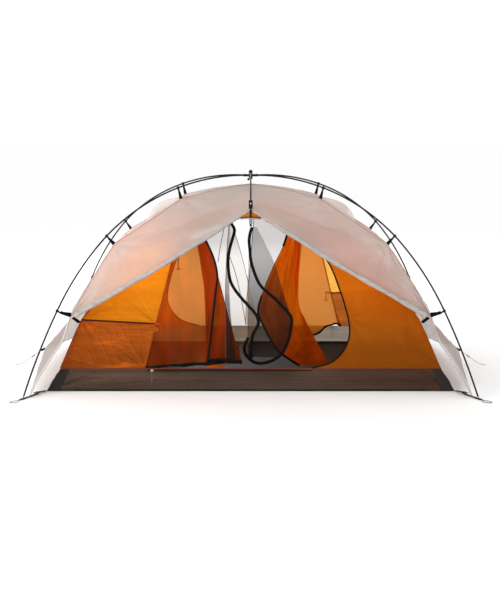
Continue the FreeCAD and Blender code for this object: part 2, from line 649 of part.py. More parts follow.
def cords():
    """Stake loops at the feet and a short guy at each end panel, with its line tensioner."""
    for name, sx, sy in QUARTERS:
        solid, radii, length = rounded_route(stake_loop_points(sx, sy), STAKE_CORD_R)
        print("stake loop", name, "length", round(length), "radii", [round(r, 1) for r in radii])
        add("stake_loops", solid)
    for side, sx in (("left", -1), ("right", 1)):
        route = [vec(p, sx, -1) for p in GUY_ROUTE]
        solid, radii, length = rounded_route(route, GUY_R)
        print("side guy", side, "length", round(length), "radii", [round(r, 1) for r in radii])
        add("side_guys", solid)
        tab = Vector(HEM_TAB[0] * sx, 0, HEM_TAB[2] - 2)
        tab_end = vec(GUY_ANCHOR, sx, -1)
        add("ground_webbing", band(tab + (tab_end - tab).normalize() * 4, tab_end, 14, Vector(0, 0, 1), 1.6))
        way = (route[2] - route[1]).normalize()
        centre = route[1] + (route[2] - route[1]) * 0.5
        bore = Part.makeCylinder(GUY_R + 0.35, 30, Vector(-15, 0, 0), Vector(1, 0, 0))
        body = slab(22, 7, 5, -11).cut(bore)
        add("guy_tensioner_" + side, placed(body, frame_at(centre, way, Vector(0, 0, 1))))


def inner_hangers():
    """What the inner tent hangs by: an elastic tie at each corner and a strap with a ring at the top."""
    for _, sx, sy in QUARTERS:
        start = vec((936, wall_y(360) + 4, 362), sx, sy)
        end = vec((962, 588, 392), sx, sy)
        way = (end - start).normalize()
        add("inner_hangers", band(start + way * 3, end - way * 3, 8, Vector(sx, 0, 0)))
    top = Vector(0, 0, 1053)
    add("inner_hangers", band(Vector(0, 0, 976), top - Vector(0, 0, 13), 14, Vector(0, 1, 0)),
        Part.makeTorus(9, 2.2, top, Vector(0, 1, 0)))


def main():
    poles()
    fly()
    clips()
    ridge_buckles()
    walls()
    ends_and_roof()
    tub()
    doors()
    zips()
    sliders()
    toggles()
    corner_sets()
    cords()
    inner_hangers()
    write_parts()
    print(len(NODES), "nodes")


main()
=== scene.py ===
"""Two-person tent on poles: crossed poles and a ridge pole over a translucent fly, with an orange
inner tent, a dark tub floor and two doors hanging open.  Metres, +Z up, front door towards -Y.
Fly, tub and wall points belong to the +X +Y quarter; door and netting points are in place."""
import math

import bpy
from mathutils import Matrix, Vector, noise


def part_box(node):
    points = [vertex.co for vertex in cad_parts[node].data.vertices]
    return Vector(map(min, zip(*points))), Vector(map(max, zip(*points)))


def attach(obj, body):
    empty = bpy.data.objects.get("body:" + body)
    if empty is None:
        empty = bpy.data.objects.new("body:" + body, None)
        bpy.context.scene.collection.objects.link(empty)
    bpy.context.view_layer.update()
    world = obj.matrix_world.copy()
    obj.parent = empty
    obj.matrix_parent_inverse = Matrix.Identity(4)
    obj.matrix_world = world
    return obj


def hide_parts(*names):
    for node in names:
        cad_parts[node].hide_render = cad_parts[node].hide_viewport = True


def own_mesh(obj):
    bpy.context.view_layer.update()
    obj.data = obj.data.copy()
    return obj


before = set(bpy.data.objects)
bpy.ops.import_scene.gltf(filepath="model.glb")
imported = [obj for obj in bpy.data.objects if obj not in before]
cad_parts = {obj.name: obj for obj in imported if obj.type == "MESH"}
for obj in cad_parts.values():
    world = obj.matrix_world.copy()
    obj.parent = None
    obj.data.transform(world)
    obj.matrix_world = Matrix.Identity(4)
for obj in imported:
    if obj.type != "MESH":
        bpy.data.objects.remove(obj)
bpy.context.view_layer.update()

# ---------------- sizes, as the frame has them
def mm(points):
    """Points that are written in millimetres, in metres."""
    return [tuple(c / 1000 for c in p) for p in points]


HALF_X, HALF_Y, FLOOR_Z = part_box("floor")[1]
TUB_X, TUB_Y, TUB_Z = 1.032, 0.620, 0.120
LEAN = 0.342                 # how far the front and rear walls lean in, per metre of height
QUARTERS = [("front_left", -1, -1), ("front_right", 1, -1), ("rear_left", -1, 1), ("rear_right", 1, 1)]
SIDES = (("left", -1), ("right", 1))

FLY_SEAM = mm([(3, 2, 1083), (40, 21, 1079), (210, 112, 1054), (378, 202, 1014), (410, 220, 1000),
               (578, 322, 888), (736, 421, 787), (762, 440, 756), (867, 519, 592), (972, 600, 405)])
FLY_EDGE = mm([(0, 455, 966), (486, 532, 684), (972, 604, 402)])
ROLL = mm([(14, 472, 962), (250, 512, 816), (486, 552, 670), (718, 584, 540), (950, 616, 408)])
FLY_LEG = mm([(972, 600, 405), (1011, 650, 277), (1058, 700, 205), (1116, 760, 110), (1166, 806, 14)])
CLIP_SEAM = mm([(394, 209, 1008), (750, 430, 776), (968, 597, 412)])
CROWN_X, VENT_TOP_X, VENT_LIP_X, VENT_END_X = 0.006, 0.396, 0.585, 0.600
HEM_TAB = (1.236, 0.0, 0.1)
WALL_CORNER = mm([(1032, 122), (930, 360), (882, 425), (812, 570), (640, 728), (420, 806), (200, 866)])
ROOF_EDGE = mm([(-390, 813), (-200, 868), (-64, 912), (64, 912), (200, 868), (390, 813)])
ROOF_RISE = 0.062
ROOF_MIDDLE = (0, 0, 0.97)
PANEL_SEAM = (0.349, 0.368)  # height of the lower panel's seam at the hinge and at the corner
HINGE_FOOT, HINGE_HEAD = (0.577, 0.122), (0.402, 0.806)
DOOR_TOP = mm([(-370, 810), (-200, 862), (-90, 902), (60, 904)])
DOOR_CURVE = mm([(60, 904), (230, 830), (406, 706), (491, 524), (538, 346), (522, 243), (450, 160),
                 (336, 122)])

# ---------------- camera and light
CAMERA_PLACE, CAMERA_DOWN = (-0.004, -6.315, 1.433), 0.163
FOCAL, SENSOR = 64.5, 36.0
STUDIO_REACH = 60.0
SKY = 1.01
LAMPS = (                    # name, place, aim, size, power, colour
    ("key", (-4.6, -3.8, 2.2), (-0.4, 0, 0.4), 2.2, 90, (1.0, 0.97, 0.93)),
    ("back", (-2.2, 5.2, 2.6), (-0.2, 0, 0.6), 3.0, 90, (1.0, 0.99, 0.97)),
    ("inner", (-0.60, -0.10, 0.60), (-0.80, -0.56, 0.42), 0.35, 1.4, (1.0, 0.93, 0.84)),
    ("low", (-3.4, -3.6, 0.9), (-0.6, -0.4, 0.45), 1.4, 45, (1.0, 0.96, 0.92)))


def camera():
    """A view from above head height, six metres in front of the tent."""
    data = bpy.data.cameras.new("camera")
    data.lens, data.sensor_width, data.clip_end = FOCAL, SENSOR, 200
    eye = bpy.data.objects.new("camera", data)
    eye.location = CAMERA_PLACE
    eye.rotation_euler = (math.pi / 2 - CAMERA_DOWN, 0, 0)
    bpy.context.collection.objects.link(eye)
    bpy.context.scene.camera = eye


def area_light(name, place, aim, size, power, colour):
    """A square soft box that looks at a point and isn't seen itself."""
    data = bpy.data.lights.new(name, "AREA")
    data.size, data.energy, data.color = size, power, colour
    lamp = bpy.data.objects.new(name, data)
    lamp.location = place
    lamp.rotation_euler = (Vector(aim) - Vector(place)).to_track_quat("-Z", "Y").to_euler()
    lamp.visible_camera = False
    bpy.context.collection.objects.link(lamp)


def studio():
    """A white floor and surround, a key light from the left and softer ones behind and inside."""
    mesh = bpy.data.meshes.new("studio_floor")
    corners = [(x * STUDIO_REACH, y * STUDIO_REACH, 0) for x, y in ((-1, -1), (1, -1), (1, 1), (-1, 1))]
    mesh.from_pydata(corners, [], [(0, 1, 2, 3)])
    floor = bpy.data.objects.new("studio_floor", mesh)
    bpy.context.collection.objects.link(floor)
    paper = bpy.data.materials.new("studio_paper")
    paper.use_nodes = True
    shader = paper.node_tree.nodes["Principled BSDF"]
    shader.inputs["Base Color"].default_value = (0.98, 0.98, 0.98, 1)
    shader.inputs["Roughness"].default_value = 0.9
    mesh.materials.append(paper)
    world = bpy.data.worlds.new("studio")
    world.use_nodes = True
    background = world.node_tree.nodes["Background"]
    background.inputs["Color"].default_value = (1.0, 1.0, 1.0, 1)
    background.inputs["Strength"].default_value = SKY
    bpy.context.scene.world = world
    for lamp in LAMPS:
        area_light(*lamp)
    bpy.context.scene.view_settings.view_transform = "Standard"


# ---------------- points and lines
def vec(point, sx=1, sy=1):
    return Vector((point[0] * sx, point[1] * sy, point[2]))


def copied(line, sx, sy):
    """A line of the +X +Y quarter in another quarter."""
    return [vec(p, sx, sy) for p in line]


def shifted(line, x=0.0, y=0.0, z=0.0):
    return [p + Vector((x, y, z)) for p in line]


def straight(start, end, count):
    return [start.lerp(end, i / (count - 1)) for i in range(count)]


def on_wall(x, z, inset=0.0):
    """A point on the leaning rear wall, or inset from it towards the middle."""
    return Vector((x, TUB_Y - (z - TUB_Z) * LEAN - inset, z))


def wall_line(points, sx=1):
    return [on_wall(x * sx, z) for x, z in points]


def hinge_curve(count, inset=0.0):
    """The seam that a door hangs from, from the foot up."""
    return straight(on_wall(*HINGE_FOOT, inset), on_wall(*HINGE_HEAD, inset), count)


def turned(v):
    """Half a turn about Z: the rear wall's point becomes the front wall's."""
    return Vector((-v[0], -v[1], v[2]))


def curve(points, count):
    """Evenly spaced points along a Catmull-Rom curve through the given ones."""
    pts = [Vector(p) for p in points]
    pts = [2 * pts[0] - pts[1]] + pts + [2 * pts[-1] - pts[-2]]
    fine = []
    for p0, p1, p2, p3 in zip(pts, pts[1:], pts[2:], pts[3:]):
        for step in range(24):
            t = step / 24
            fine.append(0.5 * (2 * p1 + (p2 - p0) * t + (2 * p0 - 5 * p1 + 4 * p2 - p3) * t * t
                               + (3 * p1 - p0 - 3 * p2 + p3) * t ** 3))
    fine.append(pts[-2])
    return even(fine, count)


def arc_lengths(line):
    """How far along a line each of its points lies."""
    gone = [0.0]
    for a, b in zip(line, line[1:]):
        gone.append(gone[-1] + (b - a).length)
    return gone


def even(fine, count):
    """A line's points spaced evenly along it."""
    gone = arc_lengths(fine)
    out, k = [], 0
    for i in range(count):
        goal = gone[-1] * i / (count - 1)
        while k < len(fine) - 2 and gone[k + 1] < goal:
            k += 1
        span = max(gone[k + 1] - gone[k], 1e-9)
        out.append(fine[k].lerp(fine[k + 1], min(1.0, (goal - gone[k]) / span)))
    return out


def at_x(points, x):
    """The point of a line at a given x."""
    for a, b in zip(points, points[1:]):
        if a.x <= x <= b.x:
            return a.lerp(b, (x - a.x) / max(b.x - a.x, 1e-9))
    return points[-1] if x > points[-1].x else points[0]


def first_above(line, z):
    """Index of the first point of a rising line above a height."""
    return next(i for i, p in enumerate(line) if p.z > z)


def heading(line, i):
    """Which way a line runs at one of its points."""
    return (line[min(i + 1, len(line) - 1)] - line[max(i - 1, 0)]).normalized()


# ---------------- grids of cloth and their folds
def between(left, right, columns, bulge=None):
    """Rows of points from one edge to the other; bulge(row share, column share) pushes them."""
    rows = []
    for i, (a, b) in enumerate(zip(left, right)):
        row = straight(a, b, columns)
        if bulge:
            v = i / (len(left) - 1)
            row = [p + bulge(v, j / (columns - 1)) for j, p in enumerate(row)]
        rows.append(row)
    return rows


def normals(rows):
    """Unit normals of a grid of points."""
    high, wide = len(rows), len(rows[0])
    out = []
    for i in range(high):
        line = []
        for j in range(wide):
            down = rows[min(i + 1, high - 1)][j] - rows[max(i - 1, 0)][j]
            across = rows[i][min(j + 1, wide - 1)] - rows[i][max(j - 1, 0)]
            normal = down.cross(across)
            line.append(normal.normalized() if normal.length > 1e-12 else Vector((0, 0, 1)))
        out.append(line)
    return out


def ruffled(rows, height):
    """The grid pushed along its normals by height(point, v, u)."""
    up = normals(rows)
    high, wide = len(rows), len(rows[0])
    return [[rows[i][j] + up[i][j] * height(rows[i][j], i / (high - 1), j / (wide - 1)) for j in range(wide)]
            for i in range(high)]


def rim(share, width=0.06):
    """0 at either end of a side and 1 a little way in, for folds that die out at a seam."""
    return min(1.0, share / width, (1 - share) / width)


def hump(share):
    """0 at either end of a side and 1 at its middle."""
    return 4 * share * (1 - share)


def pull_folds(anchors, size, reach, spokes):
    """Folds that radiate from anchor points: a function of a point."""
    def height(p):
        total = 0.0
        for k, c in enumerate(anchors):
            away = p - c
            distance = away.length
            if distance > 4 * reach:
                continue
            angle = math.atan2(away.z, math.hypot(away.x, away.y) * (1 if away.x > 0 else -1))
            fade = math.exp(-distance / reach) * min(1.0, distance / 0.05)
            total += size * fade * math.sin(spokes * angle + 1.7 * k + 0.8 * math.sin(2.3 * spokes * angle))
        return total

    return height


def creases(p, way, width, length, seed):
    """Thin raised lines of handled cloth, all running roughly one way: from 0 to 1."""
    along = p.dot(way)
    rest = p - way * along
    value = noise.noise(Vector((along / length + seed, rest.x / width + 2 * seed, (rest.y + rest.z) / width)))
    return max(0.0, 1 - 6 * abs(value))


def soft_noise(p, scale, seed=0.0):
    """Smooth noise from about -1 to 1 at a given grain, in metres."""
    return noise.noise(Vector((p.x / scale + seed, p.y / scale - seed, p.z / scale + 3.1 * seed)))


# ---------------- pieces
def linked(name, data, body, stands_for=()):
    """A piece that rides on a body and stands for CAD nodes, if any."""
    piece = bpy.data.objects.new(name, data)
    bpy.context.collection.objects.link(piece)
    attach(piece, body)
    if stands_for:
        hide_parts(*stands_for)
    return piece


def mesh_data(name, verts, faces, uvs, material, smooth=True):
    """A mesh with its UV map in metres.  Only four-sided faces are smooth."""
    mesh = bpy.data.meshes.new(name)
    mesh.from_pydata([tuple(v) for v in verts], [], faces)
    layer = mesh.uv_layers.new(name="cut")
    for polygon, coordinates in zip(mesh.polygons, uvs):
        polygon.use_smooth = smooth and len(polygon.vertices) == 4
        for loop, uv in zip(polygon.loop_indices, coordinates):
            layer.data[loop].uv = uv
    mesh.materials.append(material)
    return mesh


def cloth(name, grids, material, stands_for=(), body="tent"):
    """One piece of cloth made of one or more grids of points."""
    verts, faces, uvs = [], [], []
    for rows in grids:
        base = len(verts)
        high, wide = len(rows), len(rows[0])
        down = arc_lengths([row[wide // 2] for row in rows])
        across = [arc_lengths(row) for row in rows]
        for row in rows:
            verts += row
        for i in range(high - 1):
            for j in range(wide - 1):
                corners = [(i, j), (i + 1, j), (i + 1, j + 1), (i, j + 1)]
                faces.append([base + r * wide + c for r, c in corners])
                uvs.append([(across[r][c] - across[r][-1] / 2, down[r]) for r, c in corners])
    return linked(name, mesh_data(name, verts, faces, uvs, material), body, stands_for)


def tube(name, lines, rings, step, cap, material, smooth, stands_for, body):
    """Faces between the rings of points round each line, closed at both ends.  step is how far
    the UV map goes from one corner of a ring to the next, and cap is the map of an end."""
    verts, faces, uvs = [], [], []
    for line, row in zip(lines, rings):
        base, sides, gone = len(verts), len(row[0]), arc_lengths(line)
        for ring in row:
            verts += ring
        for i in range(len(line) - 1):
            for k in range(sides):
                a, b = base + sides * i + k, base + sides * i + (k + 1) % sides
                faces.append([a, b, b + sides, a + sides])
                uvs.append([(k * step, gone[i]), ((k + 1) * step, gone[i]),
                            ((k + 1) * step, gone[i + 1]), (k * step, gone[i + 1])])
        end = base + sides * (len(line) - 1)
        faces += [[base + k for k in reversed(range(sides))], [end + k for k in range(sides)]]
        uvs += [cap] * 2
    return linked(name, mesh_data(name, verts, faces, uvs, material, smooth), body, stands_for)


def ribbon(name, lines, width, material, thick=0.0012, facing=None, stands_for=(), body="tent"):
    """Tape laid along lines of points.  facing(point) is the way its flat side looks."""
    rings = []
    for line in lines:
        row, side = [], Vector((1, 0, 0))
        for i, p in enumerate(line):
            way = heading(line, i)
            out = (facing(p) if facing else Vector((0, -1, 0))).normalized()
            across = way.cross(out)
            side = across.normalized() if across.length > 0.05 else side
            out = side.cross(way).normalized()
            row.append([p + side * (s * width) + out * (o * thick)
                        for s, o in ((-0.5, -0.5), (0.5, -0.5), (0.5, 0.5), (-0.5, 0.5))])
        rings.append(row)
    cap = [(0, 0), (width, 0), (width, thick), (0, thick)]
    return tube(name, lines, rings, width, cap, material, False, stands_for, body)


def sleeve(name, lines, radius, material, sides=8, lump=None, stands_for=(), body="tent"):
    """A round roll of cloth along lines of points; lump(point, angle) swells it."""
    rings = []
    for line in lines:
        row = []
        for i, p in enumerate(line):
            way = heading(line, i)
            side = way.cross(Vector((0, 0, 1)))
            side = side.normalized() if side.length > 0.05 else Vector((1, 0, 0))
            up = side.cross(way).normalized()
            ring = []
            for k in range(sides):
                angle = 2 * math.pi * k / sides
                r = radius + (lump(p, angle) if lump else 0.0)
                ring.append(p + side * (r * math.cos(angle)) + up * (r * math.sin(angle)))
            row.append(ring)
        rings.append(row)
    cap = [(0.001 * k, 0.0) for k in range(sides)]
    return tube(name, lines, rings, radius * 0.6, cap, material, True, stands_for, body)


# ---------------- materials
RIPSTOP = 0.006              # between the reinforcing yarns
THREAD = 0.0008
NET_THREAD = 0.0012
WEAVE_DEPTH = 0.0003
RIB_DEPTH = 0.0005
FINE_LINE = 0.028            # share of the noise that a sharp crease takes
FOOT_SHADE = (0.08, 0.70)    # heights between which cloth is darker from the ground's shade
NET_FOLDS = (0.42, 0.76)     # heights between which the netting's folds open out
WHITE, YARN = (1, 1, 1, 1), (0.90, 0.90, 0.90, 1)


def new_material(name):
    material = bpy.data.materials.new(name)
    material.use_nodes = True
    return material, material.node_tree, material.node_tree.nodes["Principled BSDF"]


def feed(tree, target, inputs):
    """Gives a node's inputs their values, or the sockets that feed them."""
    for name, value in inputs.items():
        if isinstance(value, bpy.types.NodeSocket):
            tree.links.new(value, target.inputs[name])
        else:
            target.inputs[name].default_value = value


def node(tree, kind, inputs, **settings):
    """A shader node with its settings and inputs."""
    made = tree.nodes.new("ShaderNode" + kind)
    for name, value in settings.items():
        setattr(made, name, value)
    feed(tree, made, inputs)
    return made


def times(tree, first, second):
    """One colour multiplied by another."""
    mix = node(tree, "Mix", {"Factor": 1.0, "A": first, "B": second}, data_type="RGBA", blend_type="MULTIPLY")
    return mix.outputs["Result"]


def mixed(tree, share, first, second):
    return node(tree, "MixShader", {0: share, 1: first.outputs[0], 2: second.outputs[0]})


def by_height(tree, heights, low, high=1.0, **settings):
    """A factor that goes from low to high between two heights."""
    place = node(tree, "TexCoord", {})
    parts = node(tree, "SeparateXYZ", {0: place.outputs["Object"]})
    inputs = {"Value": parts.outputs["Z"], "From Min": heights[0], "From Max": heights[1],
              "To Min": low, "To Max": high}
    return node(tree, "MapRange", inputs, **settings).outputs["Result"]


def weave(tree, thread, strength, depth):
    """The normal of a plain weave, two crossed waves over the UV map, which is in metres."""
    place = node(tree, "TexCoord", {})
    inputs = {"Scale": math.pi / (10 * thread), "Distortion": 0.4, "Vector": place.outputs["UV"]}
    waves = [node(tree, "TexWave", inputs, bands_direction=way).outputs["Fac"] for way in ("X", "Y")]
    total = node(tree, "Math", {0: waves[0], 1: waves[1]}, operation="ADD")
    bump = node(tree, "Bump", {"Strength": strength, "Distance": depth, "Height": total.outputs[0]})
    return bump.outputs["Normal"]


def painted_fold_light(tree, place, squeeze, tilt, sharp, strength):
    """Painted highlights along creases (sharp) or painted bands of light and shade across folds (soft), as a
    gray factor near 1.
    """
    inputs = {"Rotation": (0, tilt, 0), "Scale": squeeze, "Vector": place.outputs["Object"]}
    stretch = node(tree, "Mapping", inputs)
    grain = node(tree, "TexNoise", {"Scale": 1.0, "Detail": 0.5, "Vector": stretch.outputs[0]}).outputs["Fac"]
    if sharp:
        middle = node(tree, "Math", {0: grain, 1: 0.5}, operation="SUBTRACT")
        size = node(tree, "Math", {0: middle.outputs[0]}, operation="ABSOLUTE")
        inputs = {"Value": size.outputs[0], "From Max": FINE_LINE, "To Min": 1 + strength, "To Max": 1.0}
    else:
        inputs = {"Value": grain, "From Min": 0.32, "From Max": 0.68,
                  "To Min": 1 - strength, "To Max": 1 + strength}
    return node(tree, "MapRange", inputs).outputs["Result"]


def mottled(tree, colour, amount, scale, grid=None, low_shade=None, fold_light_and_shade=()):
    """The colour with soft cloudy change and, if asked, the faint grid of a ripstop yarn, a
    painted shade towards the foot (low_shade is its share of the brightness at the ground) and painted fold
    light."""
    place = node(tree, "TexCoord", {})
    cloud = node(tree, "TexNoise", {"Scale": scale, "Detail": 4, "Vector": place.outputs["Object"]})
    ramp = node(tree, "ValToRGB", {"Fac": cloud.outputs["Fac"]})
    for element, share, position in zip(ramp.color_ramp.elements, (1 - amount, 1 + amount), (0.3, 0.7)):
        element.color = (*[min(1.0, c * share) for c in colour], 1)
        element.position = position
    result = ramp.outputs["Color"]
    if grid:
        inputs = {"Scale": 1.0, "Brick Width": grid, "Row Height": grid, "Mortar Size": grid * 0.05,
                  "Color1": WHITE, "Color2": WHITE, "Mortar": YARN, "Vector": place.outputs["UV"]}
        result = times(tree, result, node(tree, "TexBrick", inputs, offset=0.0).outputs["Color"])
    if low_shade:
        shade = by_height(tree, FOOT_SHADE, low_shade, interpolation_type="SMOOTHSTEP")
        result = times(tree, result, shade)
    for fold_light_entry in fold_light_and_shade:
        result = times(tree, result, painted_fold_light(tree, place, *fold_light_entry))
    return result


def thin_cloth(name, colour, glow, clear, tint=(1.0, 1.0, 1.0), back_colour=None, roughness=0.5, mottle=0.05,
               low_shade=None, fold_light_and_shade=()):
    """Thin woven cloth: part of the light glows through it, and part passes straight through,
    tinted.  glow and clear are those shares."""
    material, tree, shader = new_material(name)
    colours = mottled(tree, colour, mottle, 3.0, RIPSTOP, low_shade, fold_light_and_shade)
    through = mottled(tree, back_colour, mottle, 3.0, RIPSTOP, low_shade, fold_light_and_shade) if back_colour else colours
    feed(tree, shader, {"Base Color": colours, "Roughness": roughness, "Specular IOR Level": 0.12,
                        "Normal": weave(tree, THREAD, 0.12, WEAVE_DEPTH)})
    back = node(tree, "BsdfTranslucent", {"Color": through})
    hole = node(tree, "BsdfTransparent", {"Color": (*tint, 1)})
    both = mixed(tree, clear, mixed(tree, glow, shader, back), hole)
    feed(tree, tree.nodes["Material Output"], {"Surface": both.outputs[0]})
    return material


def netting(name, colour, clear, low_clear):
    """Fine insect netting seen from afar: a gray veil with most light passing through.  Where it
    hangs in folds near the ground less passes (low_clear)."""
    material, tree, shader = new_material(name)
    feed(tree, shader, {"Base Color": mottled(tree, colour, 0.12, 9.0), "Roughness": 0.8,
                        "Specular IOR Level": 0.05, "Normal": weave(tree, NET_THREAD, 0.3, WEAVE_DEPTH)})
    share = by_height(tree, NET_FOLDS, low_clear, clear)
    both = mixed(tree, share, shader, node(tree, "BsdfTransparent", {}))
    feed(tree, tree.nodes["Material Output"], {"Surface": both.outputs[0]})
    return material


def webbing(name, colour, thread=0.0016, roughness=0.75):
    """Tight woven tape with a ribbed surface."""
    material, tree, shader = new_material(name)
    feed(tree, shader, {"Base Color": mottled(tree, colour, 0.25, 60.0), "Roughness": roughness,
                        "Specular IOR Level": 0.08, "Normal": weave(tree, thread, 0.6, RIB_DEPTH)})
    return material


def grainy(name, colour, roughness, metallic=0.0, scale=180.0, depth=0.00008):
    """Moulded or anodised surfaces: fine grain, slight colour change and rubbed roughness."""
    material, tree, shader = new_material(name)
    place = node(tree, "TexCoord", {})
    grain = node(tree, "TexNoise", {"Scale": scale, "Vector": place.outputs["Object"]}).outputs["Fac"]
    rubbed = node(tree, "MapRange", {"Value": grain, "To Min": roughness - 0.08, "To Max": roughness + 0.08})
    bump = node(tree, "Bump", {"Strength": 0.4, "Distance": depth, "Height": grain})
    feed(tree, shader, {"Base Color": mottled(tree, colour, 0.12, 14.0), "Metallic": metallic,
                        "Specular IOR Level": 0.5 if metallic else 0.15,
                        "Roughness": rubbed.outputs["Result"], "Normal": bump.outputs["Normal"]})
    return material


# Painted fold light and shade (sharp: painted highlights along creases; soft: painted bands of light and
# shade across folds): squeeze of the noise on each axis, tilt, sharp or soft, strength.
CRUMPLE = (((2.2, 2.2, 30), 0.65, True, 0.16), ((2.0, 2.0, 16), 0.8, False, 0.06))
HARD_CRUMPLE = (((2.6, 2.6, 34), 0.75, True, 0.40), ((2.4, 2.4, 24), -0.6, True, 0.22),
                ((3, 3, 18), 0.7, False, 0.16))
HANGING = (((13, 13, 0.9), 0.0, False, 0.22), ((30, 30, 1.5), 0.10, False, 0.10))
SPILLING = (((9, 9, 1.2), -0.35, False, 0.22), ((24, 24, 1.6), -0.3, False, 0.12))
TAUT = (((2.0, 2.0, 10), 0.55, False, 0.04), ((2.0, 2.0, 34), 0.6, True, 0.05))
SLACK = (((0.8, 0.8, 46), 0.03, True, 0.22), ((1.0, 1.0, 26), 0.10, False, 0.12))
WOUND = (((30, 30, 60), 0.5, False, 0.10),)

# low_shade below paints shade towards each cloth's foot; the fold tables paint highlights along creases and
# shade across folds.
FLY = thin_cloth("fly_nylon", (0.76, 0.69, 0.65), 0.56, 0.11, (1.0, 0.95, 0.92),
                 roughness=0.42, mottle=0.03, low_shade=0.78, fold_light_and_shade=TAUT)
FLY_HOOD = thin_cloth("fly_hood", (0.95, 0.90, 0.87), 0.45, 0.28, (1.0, 0.97, 0.95),
                      roughness=0.42, mottle=0.03, fold_light_and_shade=TAUT)
FLY_BAND = thin_cloth("fly_band", (0.97, 0.94, 0.92), 0.30, 0.02, roughness=0.42, mottle=0.03)
FLY_ROLL = thin_cloth("fly_rolled", (0.47, 0.43, 0.41), 0.15, 0.0, mottle=0.04, fold_light_and_shade=WOUND)
ORANGE = thin_cloth("orange_nylon", (1.0, 0.26, 0.006), 0.62, 0.13, (1.0, 0.50, 0.08),
                    low_shade=0.45, fold_light_and_shade=TAUT)
# A copy of the orange painted lighter and yellower for the upper wall panels, standing in for light that
# shines through them: painted light.
ORANGE_PAINTED_LIT = thin_cloth("orange_painted_lit", (1.0, 0.39, 0.014), 0.80, 0.34, (1.0, 0.64, 0.18),
                          low_shade=0.85, fold_light_and_shade=CRUMPLE)
ORANGE_DOUBLE = thin_cloth("orange_double", (0.62, 0.14, 0.008), 0.6, 0.05, (1.0, 0.5, 0.2),
                           mottle=0.08, low_shade=0.7, fold_light_and_shade=HARD_CRUMPLE)
ORANGE_CURTAIN = thin_cloth("orange_curtain", (0.54, 0.070, 0.001), 0.6, 0.24, (1.0, 0.56, 0.14),
                            mottle=0.06, low_shade=0.45, fold_light_and_shade=HANGING)
ORANGE_BRIGHT = thin_cloth("orange_bright", (1.0, 0.17, 0.002), 0.70, 0.12, (1.0, 0.35, 0.01),
                           mottle=0.06, low_shade=0.85, fold_light_and_shade=SPILLING)
ORANGE_PALE = thin_cloth("orange_pale", (0.74, 0.18, 0.006), 0.6, 0.22, (1.0, 0.57, 0.17), low_shade=0.75)
TUB = thin_cloth("tub_nylon", (0.024, 0.017, 0.014), 0.42, 0.0, back_colour=(0.50, 0.42, 0.34),
                 roughness=0.38, mottle=0.08, fold_light_and_shade=SLACK)
FLOOR = thin_cloth("floor_nylon", (0.022, 0.016, 0.014), 0.05, 0.0, mottle=0.08, fold_light_and_shade=SLACK)
TUB_CORNER = thin_cloth("tub_corner", (0.022, 0.019, 0.018), 0.05, 0.0, roughness=0.42, mottle=0.08)
NET_LIGHT = netting("net_light", (0.20, 0.11, 0.05), 0.62, 0.62)
NET_DARK = netting("net_dark", (0.012, 0.007, 0.005), 0.60, 0.24)
NET_SEAM = webbing("net_seam", (0.05, 0.05, 0.05))
ZIP = webbing("zip_tape", (0.004, 0.004, 0.004), 0.0024)
BLACK_WEB = webbing("black_webbing", (0.004, 0.004, 0.004), 0.0016, 0.85)
PULL_CORD = webbing("pull_cord", (0.10, 0.10, 0.11), 0.0012)
DARK_SEAM = webbing("dark_seam", (0.05, 0.012, 0.004))
SEAM_TAPE = webbing("seam_tape", (0.50, 0.33, 0.27))
PIPING = webbing("orange_piping", (0.30, 0.055, 0.008))
TOGGLE = webbing("toggle_cord", (0.30, 0.040, 0.004), 0.0012, 0.9)
CORD = webbing("guy_cord", (0.018, 0.018, 0.02), 0.0012)
POLE = grainy("pole_anodised", (0.006, 0.005, 0.0045), 0.45, 0.0, 260.0, 0.00004)
METAL = grainy("turned_metal", (0.05, 0.05, 0.054), 0.32, 0.9, 220.0)
PLASTIC = grainy("black_plastic", (0.005, 0.005, 0.005), 0.5)
NICKEL = grainy("slider_metal", (0.62, 0.62, 0.63), 0.35, 0.3)
LATCH = grainy("latch_plastic", (0.20, 0.22, 0.23), 0.45)
STRUT = grainy("strut_plastic", (0.70, 0.68, 0.66), 0.45)

# ---------------- cords
STAKE_LOOP = [(0, 0), (15, 6), (31, 10), (47, 10), (60, 4), (65, -7), (59, -18), (46, -24), (30, -23),
              (15, -18), (2, -10)]       # mm along and across the loop
STAKE_START = (1.212, 0.846, 0.0022)
STAKE_TURN = math.radians(50)
LOOP_LENGTH, LOOP_THICK = 0.145, 0.0028
GUY_ROUTE = [(1.252, 0.004, 0.092), (1.283, 0.005, 0.070), (1.325, 0.006, 0.040), (1.362, 0.007, 0.014),
             (1.388, 0.008, 0.003), (1.412, 0.008, 0.002)]
GUY_LENGTH, GUY_THICK = 0.187, 0.002


def nurbs(name, points, thick, node_name):
    """A cord's smooth line through its route's control points."""
    data = bpy.data.curves.new(name, "CURVE")
    data.dimensions = "3D"
    data.bevel_depth = thick / 2
    data.bevel_resolution = 3
    data.use_fill_caps = True
    data.resolution_u = 12
    spline = data.splines.new("NURBS")
    spline.points.add(len(points) - 1)
    for target, p in zip(spline.points, points):
        target.co = (*p, 1)
    spline.order_u = 3
    spline.use_endpoint_u = True
    data.materials.append(CORD)
    return linked(name, data, "tent", [node_name])


def cords():
    """A stake loop at each foot and a short guy at each end."""
    cos, sin = math.cos(STAKE_TURN), math.sin(STAKE_TURN)
    for name, sx, sy in QUARTERS:
        route = []
        for along, across in STAKE_LOOP:
            x = STAKE_START[0] + (along * cos + across * sin) / 1000
            y = STAKE_START[1] + (along * sin - across * cos) / 1000
            route.append(vec((x, y, STAKE_START[2]), sx, sy))
        loop = nurbs("stake_loop_" + name, route, LOOP_THICK, "stake_loops")
    for side, sx in SIDES:
        route = copied(GUY_ROUTE, sx, -1)
        guy = nurbs("side_guy_" + side, route, GUY_THICK, "side_guys")


